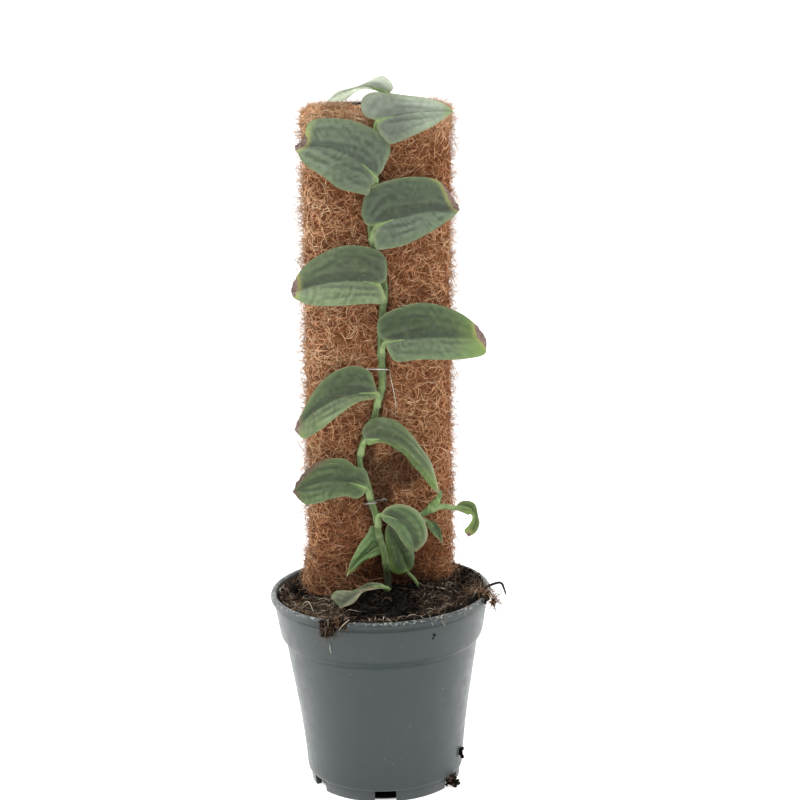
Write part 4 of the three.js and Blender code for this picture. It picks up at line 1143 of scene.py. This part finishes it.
def make_crest(material):
    """Hairs that stand up from the coir's top edge."""
    rng = np.random.default_rng(SEEDS["crest"])
    count = CREST_HAIRS
    reach = rng.uniform(-0.3 * GIRTH, 0.7 * GIRTH, count) * rng.choice([0.55, 1], count)
    share = np.linspace(0, 1, CREST_STEPS)[None]
    length = 2.0 + 5 * rng.beta(1.1, 3.2, count)[:, None]
    length[np.abs(from_middle(reach) + 5) < 10] *= 0.25
    lean = rng.normal(0, 0.7, (2, count, 1)) * length * share
    curve = rng.normal(0, 0.4, (count, 1)) * length * share**2
    root = on_board(reach, np.full(count, BOARD_TOP - 0.8), np.full(count, -1.2))
    paths = root[:, None] + np.stack([lean[0] + curve, lean[1], length * share], -1)
    radii = rng.uniform(0.09, 0.15, count)[:, None] * (1 - 0.5 * share)
    place_tubes("coir_crest", paths, radii, material, "coir", tone=rng.beta(2.2, 2.4, count))


# Longer loose strands: a splayed skirt at the lower left, tufts on the lower right edge and a few
# on the left edge. How many, ranges round the board, up, out and of their fall, and how much
# damp and painted shade darken them.
FRAYS = [
    (420, (-54, -14), (102, 124), (0.5, 5.5), (-14, 6), 0.5),
    (120, (-20, 30), (102, 112), (0.3, 1.6), (-9, 2), 0.95),
    (170, (38, 50), (104, 165), (0.8, 3.4), (-9, 3), 0.35),
    (90, (GIRTH - 44, GIRTH - 36), (110, 364), (0.6, 3.0), (-6, 6), 0.1),
]


def make_frays(material):
    rng = np.random.default_rng(SEEDS["frays"])
    share = np.linspace(0, 1, LOOSE_STEPS)[None]
    groups = []
    for count, reach_range, height_range, out_range, fall_range, damp in FRAYS:
        sway = rng.normal(0, 1.2, (count, 1))
        sway = sway * np.sin(math.pi * (1.3 * share + rng.uniform(0, 1, (count, 1))))
        reach = rng.uniform(*reach_range, count)[:, None] + rng.normal(0, 9, (count, 1)) * share + sway
        fall = rng.uniform(*fall_range, count)[:, None] * share**1.3
        height = np.maximum(rng.uniform(*height_range, count)[:, None] + fall, 101.5)
        bulge = rng.uniform(*out_range, count)[:, None] * share**0.8
        paths = on_board(reach, height, -0.3 + bulge + rng.normal(0, 0.15, (count, LOOSE_STEPS)))
        radii = thinning(LOOSE_STEPS, rng.uniform(0.1, 0.23, count))
        tone = rng.beta(1.8, 2, count)
        groups.append((paths, radii, tone, np.clip(rng.normal(damp, 0.22, count), 0, 1)))
    paths, radii, tone, damp = joined(groups)
    place_tubes("coir_frays", paths, radii, material, "coir", tone=tone, damp=damp)


# Leaves

class Rib:
    """A leaf's midrib: an arc from its base to its tip, and the blade's directions along it."""

    def __init__(self, leaf):
        self.base, middle, self.tip = (np.array(point, float) for point in leaf["rib"])
        self.control = 2 * middle - (self.base + self.tip) / 2
        self.side = 1 if self.control[0] >= self.base[0] else -1
        self.roll = leaf["roll"]
        line = self.point(np.linspace(0, 1, 201))
        self.length = np.linalg.norm(np.diff(line, axis=0), axis=1).sum()

    def point(self, share):
        t = np.asarray(share)[..., None]
        return (1 - t) ** 2 * self.base + 2 * t * (1 - t) * self.control + t**2 * self.tip

    def frame(self, along):
        """The midrib's point, the upper margin's direction and the blade's normal."""
        share = np.clip(along / self.length, 0, 1)
        t = share[..., None]
        tangent = unit((1 - t) * (self.control - self.base) + t * (self.tip - self.control))
        point = self.point(share) + np.minimum(along, 0)[..., None] * tangent
        normal = unit(np.array([0, -1, 0]) + tangent * tangent[..., 1:2])
        across = self.side * np.cross(normal, tangent)
        roll = np.radians(self.roll[0] + (self.roll[1] - self.roll[0]) * t)
        return (
            point,
            across * np.cos(roll) - normal * np.sin(roll),
            normal * np.cos(roll) + across * np.sin(roll),
        )


def blade_relief(share, along, across, swell, seed):
    """The blade's fine relief, and painted shade and light that follow how low, 0, or high, 1, each
    point lies in its folds and wrinkles, with a dark band above the midrib and a light one below.
    """
    distance = np.abs(across)
    width = np.maximum(distance.max(axis=1, keepdims=True), 0.1)
    places = np.stack([along, 1.6 * across], -1)
    folds = 0
    for fold, depth in ((0.28, 1.0), (0.63, 0.8)):
        line = (share - fold - 0.05 * np.sin(along / 7 + seed + 9 * fold)) * width
        folds = folds + depth * (0.6 * hill(line - 1.8, 1.2) - hill(line, 0.85))
    folds = folds * np.clip(0.7 + 0.6 * waves(places, 14, seed + 20), 0, 1.4)
    slant = (0.87 * along - 0.5 * distance) / 2.9 + 0.3 * waves(places, 7, seed + 60)
    wrinkles = np.sin(TURN * slant) * np.clip(0.2 + waves(places, 8, seed + 80), 0, 1)
    wrinkles = wrinkles * np.clip(0.1 + along / 10, 0, 1)
    crease = hill(distance, 1.1)
    # Painted shade in a band above the midrib, and painted light in one below it.
    band = hill(distance - 1.3, 1.5) * np.where(across > 0, -0.26, 0.1)
    edge_wave = 0.5 * share**3 * np.sin(TURN * along / 15 + seed)
    relief = 0.35 * waves(places, 9, seed) * np.sqrt(share) + edge_wave
    relief += 0.42 * folds + 0.12 * wrinkles - 0.4 * crease
    tone = 0.5 + 0.3 * folds + 0.16 * wrinkles + 0.08 * waves(places, 3, seed + 40) + band
    return relief * swell, 0.5 + (np.clip(tone, 0, 1) - 0.5) * np.sqrt(swell)


def strip_width(stretches, half, progress):
    """How wide a margin's strips are at each share of its length, below 0 where there is none."""
    width = np.full_like(progress, -6.0)
    for side, middle, reach, most in stretches:
        if side == half:
            width = np.maximum(width, most * (1 - ((progress - middle) / reach) ** 2))
    return width


def blade_sheet(leaf, seed):
    """The blade's middle surface as a grid, upper margin first, with what its material reads."""
    rib = Rib(leaf)
    widest = max(across for half in ("upper", "lower") for _, across in leaf[half])
    progress = np.linspace(0, 1, max(24, round(BLADE_ROWS * min(1, rib.length / 40))) + 1)
    share = np.linspace(0, 1, max(8, round(BLADE_COLUMNS * min(1, widest / 12))) + 1)[None]
    station = (rib.length * progress**RIB_EASE)[:, None]
    swell = np.sqrt(np.sin(math.pi * progress))[:, None]
    fine = np.linspace(0, 1, 240)
    halves, margins = [], []
    for half, curl, sign in (("upper", leaf["curl"][0], 1), ("lower", leaf["curl"][1], -1)):
        ends = [(0, 0), *leaf[half], (rib.length, 0)]
        edge = even_curve(ends, progress)
        burn = strip_width(leaf["burns"], half, progress)[:, None]
        reach = progress[:, None, None] * rib.length
        ragged = np.clip(burn, 0, 1) * 0.35 * waves(reach, 1.6, seed + 3)
        along = station * (1 - share) + edge[:, :1] * share
        across = (edge[:, 1:] + sign * ragged) * share
        pillow = BLADE_PILLOW * np.minimum(1, np.abs(edge[:, 1:]) / PILLOW_WIDTH)
        relief, tone = blade_relief(share, along, across, swell, seed + sign)
        tone = 0.5 + (tone - 0.5) * leaf["contrast"]
        lift = swell * (4 * pillow * share * (1 - share) + curl * share**2) + relief
        lift = lift + np.clip(burn, 0, 2) * 0.25 * share**4 * waves(reach, 3, seed + 7)
        halves.append((along, across, lift, share + 0 * along, tone))
        strips = [strip_width(leaf[key], half, fine) for key in ("burns", "pales")]
        margins.append(np.column_stack([even_curve(ends, fine), *strips]))
    along, across, lift, share, tone = (
        np.concatenate([upper[:, ::-1], lower[:, 1:]], axis=1) for upper, lower in zip(*halves)
    )
    point, direction, normal = rib.frame(along)
    sheet = point + direction * across[..., None] + normal * lift[..., None]
    margin = np.concatenate(margins)
    offsets = np.hypot(along[..., None] - margin[:, 0], across[..., None] - margin[:, 1])
    tip = leaf["glow"]
    glow = np.clip((along - (rib.length - tip)) / max(tip, 1), 0, 1) if tip else 0 * along
    width, height = leaf["collar"]
    base = hill(across, width) * np.clip(1 - np.maximum(along, 0) / height, 0, 1)
    reads = dict(
        edge=offsets.min(axis=-1), burn=(margin[:, 2] - offsets).max(axis=-1),
        pale=(margin[:, 3] - offsets).max(axis=-1), glow=glow, base=base, fold=tone, share=share,
        rib=np.abs(across), half=across, reach=along / rib.length,
    )
    return sheet, reads, rib


def make_leaf(name, leaf, seed):
    sheet, reads, rib = blade_sheet(leaf, seed)
    rows, columns = sheet.shape[:2]
    normal = unit(np.cross(*np.gradient(sheet, axis=(0, 1)))) * rib.side
    for end, next_row in ((0, 1), (-1, -2)):
        normal[end] = unit(normal[next_row].mean(axis=0))
    half = BLADE_THICKNESS / 2 * np.clip(0.3 + reads["edge"] / 0.9, 0, 1)[..., None]
    faces = grid_faces(rows, columns)
    count = rows * columns
    left = np.arange(rows) * columns
    rim = np.concatenate([left, left[::-1] + columns - 1])
    ahead = np.roll(rim, -1)
    band = np.concatenate([
        np.stack([rim, ahead + count, ahead], -1), np.stack([rim, rim + count, ahead + count], -1)
    ])
    points = np.stack([sheet + normal * half, sheet - normal * half]).reshape(-1, 3)
    faces = np.concatenate([faces, faces[:, ::-1] + count, band])
    if rib.side < 0:
        faces = faces[:, ::-1]
    attributes = {key: np.tile(values.ravel(), 2) for key, values in reads.items()}
    look = leaf_look(name, *leaf["colors"], **leaf["tints"])
    piece = mesh_object(name + "_blade", from_board(points), faces, look, attributes, weld=True)
    place(piece, name)
    make_stalk(name, leaf, rib)


def make_stalk(name, leaf, rib):
    """The leaf stalk, which runs into the blade's back and fades out along the midrib."""
    def under(along, depth, radius):
        point, _, normal = rib.frame(np.array([along]))
        return (*(point - normal * depth)[0], radius)

    shared = min(1, rib.length / 30)
    radius = leaf["stalk_radius"]
    points = [(*point, radius) for point in leaf["stalk"]]
    points += [under(-0.5, 1.2, radius * 0.9), under(4 * shared, 0.75, radius * 0.7)]
    points += [under(11 * shared, 0.25, 0.35)]
    path = smooth_path(points, STALK_STEPS)
    share = np.linspace(0, 1, STALK_STEPS)
    radii = path[:, 3] * (1 + 0.35 * hill(share, 0.12))
    pale = np.clip(1.1 - share * 1.3, 0.1, 1)
    node = 0.3 + 0.5 * pale * np.abs(np.sin(share * 9))
    paths = from_board(path[:, :3])[None]
    place_tubes(name + "_stalk", paths, radii[None], STALK_LOOK, "stem_green", STALK_SIDES, node=node)


# Stems, wires and roots

def make_stem(name, route, nodes, count, material, node_name):
    path = smooth_path(route, count)
    height = path[:, 2]
    nearness = np.max([hill(height - node, 1.6) for node in nodes], axis=0)
    lines = sum(hill(height - node, 0.5) for node in nodes)
    radii = path[:, 3] * (1 + 0.14 * nearness + 0.05 * waves(height[:, None], 5, 61))
    marks = np.clip(0.15 * nearness + 0.4 * lines, 0, 1)
    paths = from_board(path[:, :3])[None]
    place_tubes(name, paths, radii[None], material, "stem_green", STEM_SIDES, node_name, node=marks)


def make_wire(name, route, material):
    paths = from_board(smooth_path(route, WIRE_STEPS))[None]
    radii = np.full((1, WIRE_STEPS), WIRE_RADIUS)
    place_tubes(name + "_strand", paths, radii, material, "tie_wire", WIRE_SIDES, name)


# Loose roots and strands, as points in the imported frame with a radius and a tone.
LOOSE_STRANDS = [
    (
        [(49, -13, 108), (55.7, -15, 110.4), (59.3, -15, 112.2), (64.8, -15, 113.2), (66.4, -15, 110),
         (67.6, -15, 105.9)],
        0.75, 0.15,
    ),
    ([(54, -9, 107), (57.5, -10, 108), (59.8, -12, 106), (61, -13, 101), (60.6, -14, 97.5)], 0.3, 0.35),
    ([(53, -16, 106.5), (57, -18, 108), (60.2, -19, 105), (61.4, -19.5, 100), (62.3, -20, 96.5)], 0.22, 0.45),
    ([(55, -6, 107), (58.5, -7, 108.6), (60.8, -8, 105.5), (61.8, -9, 102)], 0.2, 0.3),
    (
        [(-17, -50, 105), (-16, -54, 107.8), (-16.5, -57.6, 108.9), (-19.5, -58.4, 106.5),
         (-21.5, -58.3, 103.8)],
        0.26, 0.85,
    ),
    (
        [(-27, -50, 105), (-26.5, -54, 108), (-27.5, -56.5, 106), (-29.5, -55.4, 98), (-31.5, -53.6, 94)],
        0.16, 0.6,
    ),
    ([(-44, -18, 101.5), (-40, -24, 108), (-38, -27, 109), (-35, -30, 102.5)], 0.22, 0.95),
    ([(-46, -22, 101.5), (-42, -25, 105), (-38, -27, 108.6)], 0.17, 0.9),
    ([(-26.6, -50.5, 93.4), (-26.7, -50.5, 91), (-26.2, -50.3, 88.6)], 0.16, 1.0),
    ([(2, -46, 103), (4, -49, 106.5), (5, -50.5, 103.5)], 0.18, 0.9),
    ([(-8, -47, 103), (-6, -50, 105), (-2, -51, 104)], 0.16, 0.75),
]

# A strand that hangs on the coir, in the board's frame.
BOARD_STRANDS = [
    (
        [(6.2, -1.8, 226.4), (6.6, -3.0, 222), (8.2, -3.2, 214), (9.2, -2.8, 207), (9.0, -2.0, 203.5)],
        0.28, 0.92,
    ),
]

# Tangles of fine strands: how many, their middle, how far they spread and their mean tone.
ROOT_TANGLES = [
    (150, (-21.0, -55.0, 106.2), (5.4, 2.2, 1.4), 0.35), (120, (-27.6, -54.6, 103.0), (2.4, 0.8, 2.8), 0.4),
    (190, (54.0, -11.0, 107.6), (3.0, 7.0, 1.6), 0.62), (60, (61.2, -18.0, 103.6), (0.8, 1.6, 3.0), 0.4),
    (60, (36.8, -22.6, 6.0), (2.0, 1.0, 1.5), 0.3), (40, (43.6, -39.0, 107.0), (3.6, 2.4, 0.4), 0.7),
    (22, (25.0, -52.0, 107.2), (5.0, 1.4, 0.3), 0.9), (12, (4.0, -56.5, 107.2), (6.0, 0.5, 0.3), 0.95),
]
COIR_TANGLES = [
    (150, (54.0, -17.5, 108.4), (4.2, 2.6, 0.5), 0.06), (110, (60.8, -18.0, 104.6), (0.7, 1.2, 2.6), 0.03),
    (60, (-22.0, -55.0, 106.2), (5.0, 2.0, 1.2), 0.0),
]


def make_tangles(name, groups, material):
    rng = np.random.default_rng(SEEDS[name])
    made = []
    for count, middle, spread, tone in groups:
        root = np.clip(rng.normal(size=(count, 1, 3)), -1.6, 1.6) * spread + middle
        turns = np.cumsum(rng.normal(0, 0.35, (count, LOOSE_STEPS, 3)), axis=1)
        turns = turns + rng.normal(0, 1.2, (count, 1, 3))
        paths = root + np.cumsum(unit(turns), axis=1) * rng.uniform(0.4, 1.3, (count, 1, 1))
        radii = thinning(LOOSE_STEPS, rng.uniform(0.05, 0.12, count))
        made.append((paths, radii, np.clip(rng.normal(tone, 0.18, count), 0, 1)))
    paths, radii, tone = joined(made)
    place_tubes(name, paths, radii, material, "peat", tone=tone)


def make_loose_strands(material):
    routes, radii, tones = zip(*LOOSE_STRANDS, *BOARD_STRANDS)
    paths = np.array([smooth_path(route, ROOT_STEPS) for route in routes])
    placed = len(LOOSE_STRANDS)
    paths[placed:] = from_board(paths[placed:])
    radii = thinning(ROOT_STEPS, np.array(radii))
    place_tubes("loose_roots", paths, radii, material, "peat", ROOT_SIDES, tone=np.array(tones))


# Stage

def make_stage():
    """A pale floor that sweeps up into a backdrop."""
    sweep = np.linspace(0.1, math.pi / 2, 14)
    reach = np.concatenate([np.linspace(-2500, 1400, 14), 1400 + 900 * np.sin(sweep), [2300]])
    rise = np.concatenate([np.zeros(14), 900 * (1 - np.cos(sweep)), [3800]])
    points = np.array([[(x, y, z) for x in (-4000, 4000)] for y, z in zip(reach, rise)], float)
    floor = mesh_object("floor", points.reshape(-1, 3), grid_faces(len(reach), 2)[:, ::-1], floor_look())


def make_light(name, spot, size, power):
    data = bpy.data.lights.new(name, "AREA")
    data.shape = "RECTANGLE"
    data.size, data.size_y = size
    data.energy = power
    light = bpy.data.objects.new(name, data)
    light.location = spot
    light.rotation_euler = (LIGHT_AIM - Vector(spot)).to_track_quat("-Z", "Y").to_euler()
    bpy.context.scene.collection.objects.link(light)


def make_lights():
    world = bpy.data.worlds.new("studio")
    world.use_nodes = True
    background = world.node_tree.nodes["Background"]
    background.inputs["Color"].default_value = (0.97, 0.985, 1.0, 1.0)
    background.inputs["Strength"].default_value = 0.7
    bpy.context.scene.world = world
    make_light("overhead", (-0.25, -0.45, 1.5), (1.6, 1.2), 15)
    make_light("left", (-1.3, 0.2, 0.5), (1.2, 1.4), 13)
    make_light("right", (1.3, 0.25, 0.5), (1.2, 1.4), 10)


def make_camera():
    forward = Vector((0, math.cos(CAMERA_PITCH), -math.sin(CAMERA_PITCH)))
    level = Vector((1, 0, 0))
    upward = level.cross(forward)
    right = level * math.cos(CAMERA_ROLL) + upward * math.sin(CAMERA_ROLL)
    top = right.cross(forward)
    data = bpy.data.cameras.new("camera")
    data.sensor_width = SENSOR_WIDTH
    data.lens = SENSOR_WIDTH * FOCAL_PIXELS / IMAGE_PIXELS
    data.clip_start, data.clip_end = 0.01, 50
    camera = bpy.data.objects.new("camera", data)
    turn = Matrix((right, top, -forward)).transposed().to_4x4()
    camera.matrix_world = Matrix.Translation(CAMERA_PLACE * MM) @ turn
    bpy.context.scene.collection.objects.link(camera)
    bpy.context.scene.camera = camera


make_camera()
make_stage()
make_lights()
bpy.context.scene.view_settings.view_transform = "Standard"

make_pot()
make_soil()
ROOT_LOOK = fibre("peat_fibre", ROOT_TONES, 0.7)
make_crumbs(crumb())
make_soil_fibres(ROOT_LOOK)
make_loose_strands(ROOT_LOOK)
make_tangles("root_tangles", ROOT_TANGLES, ROOT_LOOK)

make_coir_mat()
COIR_LOOK = fibre("coir_fibre", COIR_TONES, 0.68)
make_coir_fibres(COIR_LOOK)
make_coir_top(COIR_LOOK)
HAIR_LOOK = fibre("coir_hair", HAIR_TONES, 0.75)
make_fuzz(HAIR_LOOK)
make_crest(HAIR_LOOK)
make_frays(COIR_LOOK)
make_tangles("coir_tangles", COIR_TANGLES, HAIR_LOOK)
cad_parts["board_core"].data.materials.clear()
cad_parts["board_core"].data.materials.append(core_plastic())

STALK_LOOK = stem_look("leaf_stalk", "5b7543", "779452", "a2b07c")
STEM_LOOK = stem_look("stem_green", "4d5f36", "697d46", "97a272", 0.85)
for seed, (name, leaf) in enumerate(LEAVES.items(), 1):
    make_leaf(name, {**LEAF_DEFAULTS, **leaf}, seed)
make_stem("climbing_stem", STEM, STEM_NODES, STEM_STEPS, STEM_LOOK, "main_stem")
make_stem("sheathed_shoot", SIDE_SHOOT, SHOOT_NODES, SHOOT_STEPS, STALK_LOOK, "side_shoot")
WIRE_LOOK = wire_look()
for name, route in TIE_WIRES.items():
    make_wire(name, route, WIRE_LOOK)
